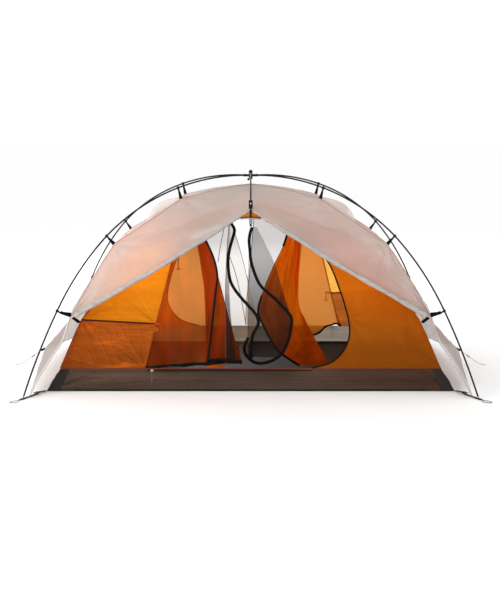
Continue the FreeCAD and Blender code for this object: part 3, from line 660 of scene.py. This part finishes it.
# ---------------- fly
FLY_STRAIN = Vector((0.8, 0.0, 0.6))
SEAM_LINE = curve(FLY_SEAM, 400)
SAG = 0.012                  # slack of a canopy between its seam and its open edge
CROWN_RISE = 0.005
ROLL_RADIUS, ROLL_TIGHT = 0.0125, 0.0075
HOOD_RISE, HOOD_LIP, HOOD_TURN = 0.056, 0.014, 0.86      # the lip turns down in the last part
BAND_ROWS, BAND_WIDTH = 26, 0.028        # the hem strip runs from this row of the end panel down
PANEL_PUSH = [               # share of the end panel's length, push outwards, push upwards
    (0.0, 0.0, 0.004), (0.18, 0.004, 0.006), (0.38, 0.018, 0.004), (0.56, 0.036, 0.006),
    (0.69, 0.048, 0.015), (0.77, 0.052, 0.030), (0.88, 0.056, 0.052), (1.0, 0.070, 0.086)]


def clips(sides_x, sides_y):
    """Where the clips pull on the fly."""
    return [vec(p, sx, sy) for p in CLIP_SEAM for sx in sides_x for sy in sides_y]


def fly_wrinkles(anchors):
    """Folds that run out from the anchors, over creases along the fly's strain."""
    pulls = pull_folds(anchors, 0.0065, 0.16, 11)

    def height(p, v, u):
        mirrored = Vector((-abs(p.x), p.y, p.z))
        line = creases(mirrored, FLY_STRAIN, 0.07, 0.35, 3.0)
        soft = 0.006 * soft_noise(p, 0.24) + 0.0015 * soft_noise(p, 0.07, 5.0)
        return rim(u, 0.05) * (pulls(p) + soft + 0.0018 * line)

    return height


def seam_part(start, end, count):
    """Points of the pole seam, evenly spaced in x."""
    return [at_x(SEAM_LINE, start + (end - start) * i / (count - 1)) for i in range(count)]


def canopy(name, sy, nodes):
    """The front or rear canopy: one cloth from corner to corner between the pole seams and the
    open edge, with a slack saddle between seam and edge."""
    seam, edge = curve(FLY_SEAM, 90), curve(FLY_EDGE, 90)
    left = copied(reversed(seam), -1, sy) + copied(seam[1:], 1, sy)
    right = copied(reversed(edge), -1, sy) + copied(edge[1:], 1, sy)

    def saddle(v, u):
        return Vector((0, 0, -SAG * math.sin(math.pi * abs(2 * v - 1)) * hump(u)))

    rows = ruffled(between(left, right, 60, saddle), fly_wrinkles(clips((-1, 1), (sy,))))
    piece = cloth(name, [rows], FLY, nodes)


def roll(name, sy, node_name):
    """Both vestibule doors of one side, rolled up tight under the canopy's edge."""
    line = curve(ROLL, 90)

    def lump(p, angle):
        wrap = math.sin(2 * angle + 26 * p.x + 3 * soft_noise(p, 0.25))
        tight = ROLL_TIGHT * max(0.0, 1 - (abs(p.x) - 0.014) / 0.16)
        return 0.0012 * wrap + 0.0018 * soft_noise(p, 0.09, 2.0) + 0.0008 * soft_noise(p, 0.03, 4.0) - tight

    piece = sleeve(name, [copied(line, sx, sy) for sx in (-1, 1)], ROLL_RADIUS, FLY_ROLL, 16,
                   lump, [node_name])


def crown(side, sx):
    """The fly's top at one end, from the hub to the vent."""
    line = seam_part(CROWN_X, VENT_TOP_X, 25)
    front, rear = copied(line, sx, -1), copied(line, sx, 1)
    rows = between(front, rear, 22, lambda v, u: Vector((0, 0, CROWN_RISE * v * hump(u))))
    rows = ruffled(rows, fly_wrinkles(clips((sx,), (-1, 1))))
    piece = cloth("crown_" + side, [rows], FLY, ["fly_crown"])


def vent(side, sx):
    """The vent's netting, and the domed hood over it."""
    line = seam_part(VENT_TOP_X, VENT_END_X, 11)
    net = between(copied(line, sx, -1), copied(line, sx, 1), 16)
    piece = cloth("vent_net_" + side, [net], NET_LIGHT, ["vent_mesh"])

    def dome(v, u):
        rise = HOOD_RISE * math.sin(math.pi * min(1.0, v / HOOD_TURN) / 2) ** 1.3
        rise -= HOOD_LIP * max(0.0, (v - HOOD_TURN) / (1 - HOOD_TURN))
        return Vector((0, 0, rise * math.sin(math.pi * u) ** 0.75))

    line = shifted(seam_part(VENT_TOP_X, VENT_LIP_X, 19), z=0.003)
    hood = between(copied(line, sx, -1), copied(line, sx, 1), 40, dome)
    piece = cloth("hood_" + side, [hood], FLY_HOOD, ["vent_hood_" + side])
    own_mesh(piece)


def share_of(table, v):
    """Two values read off a table of (share, first, second) by straight lines."""
    for (v0, a0, b0), (v1, a1, b1) in zip(table, table[1:]):
        if v <= v1:
            t = (v - v0) / (v1 - v0)
            return a0 + (a1 - a0) * t, b0 + (b1 - b0) * t
    return table[-1][1], table[-1][2]


def end_panel(side, sx):
    """The long end panel from the vent to the ground, with its hem strips and rolled hem."""
    line = even(seam_part(VENT_END_X, FLY_LEG[0][0], 17) + curve(FLY_LEG, 40)[1:], 64)

    def bulge(v, u):
        out, up = share_of(PANEL_PUSH, v)
        sharp = 1 - abs(2 * u - 1)
        shape = hump(u) + (sharp - hump(u)) * max(0.0, v - 0.75) * 4
        return Vector((sx * out * shape, 0, up * shape))

    anchors = [vec(CLIP_SEAM[2], sx, -1), vec(CLIP_SEAM[2], sx, 1), vec(HEM_TAB, sx),
               vec(CLIP_SEAM[1], sx, -1), vec(CLIP_SEAM[1], sx, 1)]
    rows = ruffled(between(copied(line, sx, -1), copied(line, sx, 1), 64, bulge), fly_wrinkles(anchors))
    piece = cloth("end_panel_" + side, [rows], FLY, ["fly_end_" + side])
    bands = []
    for first, second, sy in ((0, 1, -1), (-1, -2, 1)):
        band = []
        for row in rows[BAND_ROWS:]:
            inner = row[first] + (row[second] - row[first]).normalized() * BAND_WIDTH
            band.append(shifted(straight(row[first], inner, 6), 0.003 * sx, 0.002 * sy))
        bands.append(band)
    cloth("end_bands_" + side, bands, FLY_BAND)
    edges = [[row[0] for row in rows[BAND_ROWS:]], [row[-1] for row in rows[BAND_ROWS:]], rows[-1]]
    sleeve("end_hem_" + side, edges, 0.0022, FLY_ROLL, 6)


def seam_tapes():
    """Stitched seam tape along each pole seam of the fly."""
    line = curve(FLY_SEAM, 70)
    lines = [shifted(copied(line, sx, sy), z=0.0012) for _, sx, sy in QUARTERS]
    ribbon("pole_seam_tape", lines, 0.009, SEAM_TAPE, 0.0008,
           lambda p: Vector((p.x, p.y * 1.2, 0.9)))


def fly():
    """The fly, the rolled doors under its edges and the tape on its seams."""
    canopy("canopy_front", -1, ("fly_front_left", "fly_front_right"))
    canopy("canopy_rear", 1, ("fly_rear_left", "fly_rear_right"))
    roll("door_roll_front", -1, "rolled_doors_front")
    roll("door_roll_rear", 1, "rolled_doors_rear")
    for side, sx in SIDES:
        crown(side, sx)
        vent(side, sx)
        end_panel(side, sx)
    seam_tapes()


# ---------------- inner tent
WALL_STRAINS = (Vector((0.62, 0.0, 0.78)), Vector((0.9, 0, -0.43)))
CRUMPLED = 0.0034            # depth of the lower panel's creases; the others' is half that
OVER_DOOR = 0.009
SILL_FROM, SILL_TO = -33, 57             # ends of the zip along the sill, in centimetres
CORNER_PATCH = 0.0025        # how far a corner patch stands proud of the tub


def wall_wrinkles(anchors, crumple=0.0016):
    """Folds that run out from the anchors, over creases that cross each other."""
    pulls = pull_folds(anchors, 0.0055, 0.14, 9)

    def height(p, v, u):
        line = creases(p, WALL_STRAINS[0], 0.05, 0.16, 1.0)
        line += 0.7 * creases(p, WALL_STRAINS[1], 0.06, 0.13, 7.0)
        folds = pulls(p) + 0.005 * soft_noise(p, 0.20, 1.0) + crumple * line
        return min(rim(u, 0.08), rim(v, 0.05)) * folds

    return height


def walls():
    """The leaning walls beside each doorway, the strip above it, their seams and their zips."""
    corner = curve(wall_line(WALL_CORNER[:-1]), 120)
    hinge = hinge_curve(120)
    at_corner, at_hinge = first_above(corner, PANEL_SEAM[1]), first_above(hinge, PANEL_SEAM[0])
    pulls = [corner[at_corner], corner[0], hinge[at_hinge], hinge[0]]
    lower = between(even(hinge[:at_hinge + 1], 60), even(corner[:at_corner + 1], 60), 110)
    lower = ruffled(lower, wall_wrinkles(pulls, CRUMPLED))
    upper = between(even(hinge[at_hinge:], 90), even(corner[at_corner:], 90), 100)
    upper = ruffled(upper, wall_wrinkles(pulls))
    doorway = curve(wall_line(DOOR_CURVE, -1), 120)
    far = curve(wall_line(reversed(WALL_CORNER), -1), 120)
    beside = ruffled(between(far, doorway, 90), wall_wrinkles([far[-1], far[60], doorway[80]]))
    low = curve(wall_line(DOOR_TOP, -1), 30)
    strip = between(low, [on_wall(p.x, p.z + OVER_DOOR) for p in low], 4)
    sill = [Vector((x / 100, TUB_Y + 0.014, TUB_Z - 0.008)) for x in range(SILL_FROM, SILL_TO)]
    sheets = (("panel_upper", upper, ORANGE_PAINTED_LIT, "%s_wall_%s", "tub_walls", 0.50, 0.62),
              ("panel_lower", lower, ORANGE_DOUBLE, "%s_wall_%s", "tub_walls", 0.48, 0.30),
              ("panel_curved", beside, ORANGE, "%s_wall_%s", "tub_walls", 1.0, 0.80),
              ("over_door", strip, NET_LIGHT, "wall_tops", "roof_sheet", 0.45, 0.011))
    tapes = (("wall_binding", (hinge, corner), 0.002, 0.007, PIPING, "orange_cloth", 0.0014, ()),
             ("panel_seam", (upper[0],), 0.002, 0.009, DARK_SEAM, "orange_cloth", 0.0016, ()),
             ("door_coil", (doorway[8:],), 0.003, 0.008, ZIP, "zip_tape", 0.002, ("zip_chains",)),
             ("bottom_coil", (sill,), 0.0, 0.005, ZIP, "zip_tape", 0.0016, ("zip_chains",)))
    for side, move, near, beyond in (("rear", Vector, "right", "left"), ("front", turned, "left", "right")):
        for part, rows, material, node_name, rests_on, width, length in sheets:
            if "%" in node_name:
                node_name = node_name % (side, beyond if part == "panel_curved" else near)
            grid = [[move(p) for p in row] for row in rows]
            piece = cloth("%s_%s" % (side, part), [grid], material, [node_name])
        out = Vector((0, -1 if side == "front" else 1, LEAN))
        for part, lines, proud, width, material, slot, thick, nodes in tapes:
            lines = [[move(p) for p in shifted(line, y=proud)] for line in lines]
            ribbon("%s_%s" % (side, part), lines, width, material, thick, lambda p: out, nodes)


def end_walls():
    """The inner tent's end walls between the corner seams."""
    corner = curve(wall_line(WALL_CORNER), 56)[:50]
    for side, sx in SIDES:
        front, rear = copied(corner, sx, -1), copied(corner, sx, 1)

        def bulge(v, u):
            return Vector((sx * (0.006 + 0.018 * math.sin(math.pi * v)) * hump(u), 0, 0))

        rows = ruffled(between(front, rear, 40, bulge), wall_wrinkles([front[0], rear[0]]))
        piece = cloth("inner_end_" + side, [rows], ORANGE, ["end_wall_" + side])


def roof():
    """The roof: cloth along both edges, netting between, and bindings over the doorways."""
    rear = curve(wall_line(ROOF_EDGE), 50)
    front = copied(rear, 1, -1)

    def vault(v, u):
        return Vector((0, 0, ROOF_RISE * (0.7 + 0.3 * math.sin(math.pi * v)) * hump(u)))

    rows = ruffled(between(front, rear, 41, vault), wall_wrinkles([Vector(ROOF_MIDDLE)], 0.0))
    ends = [[row[:8] for row in rows], [row[-8:] for row in rows]]
    piece = cloth("roof_sheet", ends, ORANGE, ["inner_roof"])
    piece = cloth("roof_net", [[row[7:-7] for row in rows]], NET_LIGHT, ["inner_roof"])
    lines = []
    for edge, sy in ((front, -1), (rear, 1)):
        lines.append(shifted([p for p in edge if abs(p.x) < 0.07], y=0.002 * sy))
    ribbon("roof_binding", lines, 0.009, PIPING, 0.0014)


def tub():
    """The tub: low walls with slack between their corners, reinforced corners, floor and piping."""
    corners = [vec((HALF_X - 0.03, HALF_Y, 0.01), sx, sy) for _, sx, sy in QUARTERS]
    pulls = pull_folds(corners, 0.008, 0.22, 15)

    def slack(p, v, u):
        line = creases(p, Vector((1, 0, 0)), 0.030, 0.5, 2.0) + creases(p, Vector((0, 1, 0)), 0.030, 0.5, 4.0)
        folds = pulls(p) + 0.005 * soft_noise(p, 0.16) + 0.0022 * line
        return math.sin(math.pi * v) * rim(u, 0.03) * folds

    around = ((-1, -1), (1, -1), (1, 1), (-1, 1))
    low = [Vector((HALF_X * sx, HALF_Y * sy, FLOOR_Z)) for sx, sy in around]
    high = [Vector((TUB_X * sx, TUB_Y * sy, TUB_Z)) for sx, sy in around]
    grids = []
    for k in range(4):
        after = (k + 1) % 4
        rows = between(straight(low[k], high[k], 25), straight(low[after], high[after], 25), 260)
        grids.append(ruffled(rows, slack))
    piece = cloth("tub_sides", grids, TUB, ["tub_walls"])
    sheet = [[Vector((-HALF_X + 2 * HALF_X * i / 60, -HALF_Y + 2 * HALF_Y * j / 36,
                      FLOOR_Z - 0.001 + 0.001 * soft_noise(Vector((i * 0.4, j * 0.4, 0)), 1.0)))
              for j in range(37)] for i in range(61)]
    piece = cloth("floor_sheet", [sheet], FLOOR, ["floor"])
    fold = [(x / 20, HALF_Y - 0.006, FLOOR_Z + 0.005) for x in range(-19, 20)]
    folds = [copied(fold, 1, sy) for sy in (-1, 1)]
    sleeve("floor_folds", folds, 0.006, TUB)
    patches = []
    for _, sx, sy in QUARTERS:
        edges = []
        for foot_in, head_in in ((0.004, 0.002), (0.075, 0.050)):
            foot = vec((HALF_X - foot_in, HALF_Y + CORNER_PATCH, 0.006), sx, sy)
            head = vec((TUB_X - head_in, TUB_Y + CORNER_PATCH, TUB_Z - 0.004), sx, sy)
            edges.append(straight(foot, head, 9))
        patches.append(between(*edges, 8))
    cloth("tub_corner_patches", patches, TUB_CORNER)
    ring = [high[k].lerp(high[(k + 1) % 4], i / 30) for k in range(4) for i in range(30)]
    ribbon("tub_binding", [shifted(ring + ring[:1], z=0.001)], 0.005, PIPING, 0.0016,
           lambda p: Vector((0, 0, 1)))


# ---------------- solid doors
CURTAIN_EDGE = mm([(-250, -388, 800), (-203, -410, 697), (-181, -430, 605), (-159, -445, 524),
                   (-109, -490, 335), (-48, -556, 140)])
CURTAIN_FOLD = mm([(-303, 0, 800), (-284, 0, 697), (-270, 0, 605), (-258, 0, 524), (-249, 0, 335),
                   (-245, 0, 140)])      # depth is set by the layer
CURTAIN_ZIP = mm([(-250, 0, 800), (-204, 0, 697), (-184, 0, 605), (-192, 0, 524), (-213, 0, 335),
                  (-236, 0, 140)])
CURTAIN_ROWS = 90
FOLD_BEHIND, ZIP_BEFORE = 0.012, -0.014
HEM_LOOP = mm([(-250, -566, 138), (-215, -572, 152), (-160, -574, 158), (-100, -572, 150),
               (-52, -562, 142)])
TONGUE_LEFT = mm([(-240, -586, 134), (-240, -592, 120)])
TONGUE_RIGHT = mm([(-130, -588, 134), (-155, -592, 120)])
CURTAIN_BACK_EDGE = mm([(290, 380, 790), (280, 395, 600), (280, 430, 450), (310, 490, 250),
                        (360, 545, 78)])
CURTAIN_BACK_FOOT = mm([(592, 598, 128), (560, 598, 143), (530, 592, 137), (490, 580, 126),
                        (450, 566, 90), (405, 552, 74), (360, 545, 78)])
SPILL_LEFT = mm([(238, 366, 785), (202, 372, 671), (140, 350, 546), (81, 280, 411), (46, 215, 290),
                 (80, 150, 208), (131, 80, 122), (176, 20, 73), (250, -50, 32), (290, -85, 16)])
SPILL_RIGHT = mm([(318, 368, 780), (312, 366, 694), (298, 280, 348), (339, 200, 236), (386, 120, 150),
                  (428, 20, 80), (452, -40, 34), (440, -80, 14)])
BACK_ROWS = 60
TAB_PLACE, TAB_TOP, TAB_SIZE = 0.531, 0.338, 0.030


def swell(p, size, across):
    """Upright waves of hanging cloth."""
    drift = 0.9 * math.sin(3.1 * p.z) + 0.8 * soft_noise(p, 0.3, 6.0)
    return size * math.sin(2 * math.pi * p.x / across + 2.5 * drift)


def front_rows():
    """The front door's panel, row by row from the top: from its hinge to an outer fold, back to
    an inner fold and out again to the zipped edge."""
    hinge = [turned(p) for p in reversed(hinge_curve(CURTAIN_ROWS, 0.010))]
    edge, fold, zipped = [curve(line, CURTAIN_ROWS) for line in (CURTAIN_EDGE, CURTAIN_FOLD, CURTAIN_ZIP)]
    grid = []
    for i, (h, e) in enumerate(zip(hinge, edge)):
        def layered(p, gap):
            share = (p.x - h.x) / (e.x - h.x)
            return Vector((p.x, h.y + (e.y - h.y) * share + gap, p.z))

        inner, free = layered(fold[i], FOLD_BEHIND), layered(zipped[i], ZIP_BEFORE)
        hanging = 0.3 + 0.7 * i / (CURTAIN_ROWS - 1)
        row = [p + Vector((0, swell(p, 0.0075, 0.16) * hanging * rim(j / 89, 0.12), 0))
               for j, p in enumerate(straight(h, e, 90))]
        for start, end, steps, deep, turn in ((e, inner, 30, 0.003, math.pi), (inner, free, 24, 0.004, 6.3)):
            for j in range(1, steps + 1):
                row.append(start.lerp(end, j / steps) + Vector((0, deep * math.sin(turn * j / steps), 0)))
        grid.append(row)
    return grid


def door_front():
    """The front door's solid panel, folded back, with its zip, bunched hem and a tongue on the sill."""
    grid = front_rows()
    piece = cloth("curtain_front", [grid], ORANGE_CURTAIN, ["door_front"], "door_front")
    free = shifted([row[-1] for row in grid], y=-0.001)
    ribbon("curtain_front_zip", [free], 0.011, ZIP, 0.002, body="door_front")

    def bunch(p, angle):
        heavy = max(0.15, min(1.0, (p.x + 0.56) / 0.2))
        return heavy * (0.0045 + 0.0035 * soft_noise(p, 0.05, 2.0)) + 0.0015 * math.sin(2 * angle + 40 * p.x)

    foot = shifted(grid[-1][:90], y=-0.003, z=0.004)
    sleeve("curtain_front_hem", [foot, curve(HEM_LOOP, 40)], 0.0042, ZIP, 8, bunch,
           body="door_front")
    tongue = between(curve(TONGUE_LEFT, 6), curve(TONGUE_RIGHT, 6), 12)
    cloth("curtain_front_tongue", [tongue], ORANGE_BRIGHT, body="door_front")


def hinge_tab():
    """The half-oval pocket at the front hinge where the lower toggle tucks in."""
    grid = []
    for i in range(9):
        reach = TAB_SIZE * math.sqrt(max(0.0, 1 - (i / 4 - 1) ** 2))
        start = turned(on_wall(TAB_PLACE, TAB_TOP - TAB_SIZE * i / 8, -0.004))
        grid.append(straight(start, start + Vector((reach, 0, 0)), 9))
    cloth("hinge_tab", [grid], ORANGE)


def rear_rows():
    """The rear door's hanging part, row by row from the top, with its foot laid along the sill."""
    hinge = list(reversed(hinge_curve(BACK_ROWS, 0.014)))
    edge, foot = curve(CURTAIN_BACK_EDGE, BACK_ROWS), curve(CURTAIN_BACK_FOOT, BACK_ROWS)
    straight_foot = straight(hinge[-1], edge[-1], BACK_ROWS)
    flat = []
    for i in range(BACK_ROWS):
        low = (i / (BACK_ROWS - 1)) ** 6
        row = []
        for j, p in enumerate(straight(hinge[i], edge[i], BACK_ROWS)):
            p = p + (foot[j] - straight_foot[j]) * low
            row.append(p + Vector((0, swell(p, 0.005, 0.2) * rim(j / (BACK_ROWS - 1), 0.1), 0)))
        flat.append(row)
    return flat


def door_rear():
    """The rear door's solid panel: one part hangs flat from the hinge, the rest spills to the floor."""
    def folds(v, u):
        deep = math.sin(math.pi * min(1.0, 0.15 + v)) * rim(u, 0.12)
        wave = 0.026 * math.sin(2 * math.pi * (2.3 * u + 0.35 * v))
        wave += 0.010 * math.sin(2 * math.pi * (5.2 * u - 0.6 * v))
        return Vector((0, wave * deep, 0.35 * wave * deep))

    flat = rear_rows()
    left, right = curve(SPILL_LEFT, 120), curve(SPILL_RIGHT, 120)
    spill = [[Vector((p.x, p.y, max(p.z, 0.006))) for p in row] for row in between(left, right, 70, folds)]
    piece = cloth("curtain_rear", [flat], ORANGE_PALE, ["door_rear"], "door_rear")
    piece = cloth("curtain_rear_spill", [spill], ORANGE_BRIGHT, ["door_rear"], "door_rear")
    zipped = shifted(left, y=-0.003)
    ribbon("spill_zip", [zipped[:14], zipped[52:]], 0.013, ZIP, 0.002, body="door_rear")
    ribbon("spill_seam", [zipped[13:53]], 0.004, PIPING, 0.0016, body="door_rear")
    sleeve("curtain_rear_hem", [shifted(flat[-1], y=-0.002, z=-0.002)], 0.0062, ZIP, 8,
           lambda p, angle: 0.0026 * soft_noise(p, 0.04, 3.0), body="door_rear")


# ---------------- mesh doors
NET_EDGE = mm([(-108, -360, 885), (-90, -365, 848), (-102, -370, 798), (-118, -375, 740),
               (-126, -385, 671), (-117, -400, 584), (-93, -405, 528), (-46, -410, 467), (22, -420, 392),
               (42, -425, 350), (38, -430, 318), (14, -440, 276), (0, -456, 200), (4, -470, 142)])
NET_LEFT = mm([(-300, -366, 806), (-255, -410, 600), (-200, -455, 400), (-130, -500, 142)])
NET_TIP = mm([(-113, -362, 889), (-83, -368, 815), (-49, -380, 705), (-11, -395, 550), (10, -405, 467),
              (30, -410, 388)])
NET_SEAMS = [mm([(-148, -370, 856), (-165, -380, 777), (-182, -390, 672)]),
             mm([(-118, -386, 706), (-83, -396, 603), (-59, -406, 501), (-28, -426, 332)])]
SAIL_LEFT = mm([(10, -362, 866), (-6, -370, 790), (-14, -380, 690), (-18, -390, 570), (-18, -402, 440),
                (-18, -420, 360), (-18, -440, 250), (-16, -455, 150)])
SAIL_RIGHT = mm([(33, -355, 863), (84, -370, 766), (138, -380, 648), (192, -400, 465), (224, -420, 361),
                 (215, -440, 262), (178, -450, 174), (145, -458, 145)])
SAIL_ZIP = mm([(8, -360, 864), (-3, -365, 832), (-9, -370, 791), (-6, -378, 750), (3, -388, 671),
               (33, -394, 582), (61, -398, 534), (100, -402, 499), (139, -404, 465), (178, -408, 425),
               (210, -414, 390), (226, -422, 361), (224, -432, 307), (210, -442, 244), (178, -452, 174),
               (139, -460, 140), (100, -466, 124), (54, -470, 116), (14, -474, 126), (-17, -476, 154),
               (-34, -478, 189), (-30, -476, 226), (-12, -470, 262)])
PLEAT_LEFT = mm([(-121, -372, 880), (-133, -380, 715), (-140, -400, 532), (-138, -482, 425),
                 (-138, -512, 338), (-137, -545, 230), (-137, -578, 137)])
PLEAT_RIGHT = mm([(-112, -372, 880), (-116, -380, 715), (-119, -400, 532), (-113, -482, 425),
                  (-104, -512, 338), (-90, -545, 230), (-76, -578, 137)])
REAR_NET_EDGE = mm([(21, 360, 868), (5, 380, 649), (-13, 400, 437), (-27, 420, 312), (-33, 450, 158)])
REAR_NET_HINGE = mm([(340, 362, 820), (320, 380, 649), (300, 420, 437), (290, 440, 312), (280, 480, 150)])


def net_folds(size, count):
    """Upright folds of hanging netting, deeper towards the foot."""
    def folds(v, u):
        wave = size * math.sin(2 * math.pi * (count * u + 0.2 * v))
        return Vector((0, wave * rim(u, 0.15) * (0.3 + 0.7 * v), 0))
    return folds


def mesh_door_front():
    """The front netting: a leaf and flap, a pleat and a sail, with two S-curved zips."""
    body = "mesh_door_front"
    edge, tip = curve(NET_EDGE, 90), curve(NET_TIP, 90)
    main = between(curve(NET_LEFT, 90), edge, 36, net_folds(0.010, 2.5))
    flap = between(edge, tip[::2] + edge[45:], 14, net_folds(0.003, 1.0))
    pleat = between(curve(PLEAT_LEFT, 60), curve(PLEAT_RIGHT, 60), 8, net_folds(0.004, 1.0))
    sail = between(curve(SAIL_LEFT, 70), curve(SAIL_RIGHT, 70), 30, net_folds(0.006, 1.0))
    piece = cloth("net_front", [main, flap], NET_LIGHT, [body], body)
    piece = cloth("net_sail", [sail, pleat], NET_DARK, [body], body)
    routes = [shifted(edge, y=-0.004), shifted(curve(SAIL_ZIP, 150), y=-0.006)]
    ribbon("net_front_zips", routes, 0.017, ZIP, 0.0022, body=body)
    lines = [curve(line, 40) for line in NET_SEAMS] + [tip[:60], curve(PLEAT_LEFT, 50)]
    ribbon("net_front_seams", lines, 0.0035, NET_SEAM, 0.001, body=body)


def mesh_door_rear():
    """The rear netting, with its bound edge."""
    body = "mesh_door_rear"
    edge = curve(REAR_NET_EDGE, 70)
    rows = between(edge, curve(REAR_NET_HINGE, 70), 40, net_folds(0.008, 2.0))
    piece = cloth("net_rear", [rows], NET_LIGHT, [body], body)
    ribbon("net_rear_edge", [edge], 0.004, NET_SEAM, 0.001, body=body)


# ---------------- straps
CORNER_STRAPS = [mm([(1020, 637, 432), (972, 600, 406)]), mm([(962, 590, 395), (936, 540, 359)])]
HEM_STRAP = mm([(-1230, 0, 101), (-1257, -3, 89)])
GROMMET_PLACE, GROMMET_RADIUS = (0.486, 1.004), 0.003
LATCH_PLACE, LATCH_LENGTH = (0.485, 0.925), 0.032


def corner_straps():
    """Doubled webbing over each corner's clip strap, at the hem's guy tab and by the ridge."""
    lines = [straight(vec(start, sx, sy), vec(end, sx, sy), 13)
             for _, sx, sy in QUARTERS for start, end in CORNER_STRAPS]
    ribbon("corner_straps", lines, 0.017, BLACK_WEB, 0.0032, lambda p: Vector((0, p.y, 0)))
    lines = [straight(vec(HEM_STRAP[0], sx), vec(HEM_STRAP[1], sx), 9) for sx in (1, -1)]
    ribbon("hem_straps", lines, 0.013, BLACK_WEB, 0.003)
    rings, latches = [], []
    for sy in (-1, 1):
        turns = [math.pi * i / 8 for i in range(17)]
        rings.append([Vector((GROMMET_RADIUS * math.cos(turn), GROMMET_PLACE[0] * sy,
                              GROMMET_PLACE[1] + GROMMET_RADIUS * math.sin(turn))) for turn in turns])
        top = Vector((-0.002 * sy, LATCH_PLACE[0] * sy, LATCH_PLACE[1]))
        latches.append(straight(top, top - Vector((0, 0, LATCH_LENGTH)), 9))
    sleeve("pocket_grommets", rings, 0.0016, NICKEL)
    ribbon("ridge_latches", latches, 0.017, LATCH, 0.006, lambda p: Vector((0, p.y, 0)))


# ---------------- carried-over parts
NODE_MATERIALS = (
    (("pole_leg_", "ridge_pole"), POLE), (("pole_tips", "pole_inserts"), METAL),
    (("pole_hub", "clip_hooks", "ridge_buckles", "ladderlock_", "guy_tensioner_"), PLASTIC),
    (("zip_slider_",), NICKEL), (("zip_pull_",), PULL_CORD),
    (("clip_straps", "ground_webbing", "inner_hangers", "shock_cords"), BLACK_WEB),
    (("toggle_",), TOGGLE), (("vent_strut_",), STRUT))


def finish_nodes():
    """Gives each CAD node that stays its material."""
    for name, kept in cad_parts.items():
        for starts, material in NODE_MATERIALS:
            if name.startswith(starts):
                kept.data.materials.clear()
                kept.data.materials.append(material)


camera()
cords()
studio()
fly()
walls()
end_walls()
roof()
tub()
door_front()
hinge_tab()
door_rear()
mesh_door_front()
mesh_door_rear()
corner_straps()
finish_nodes()
bpy.context.view_layer.update()
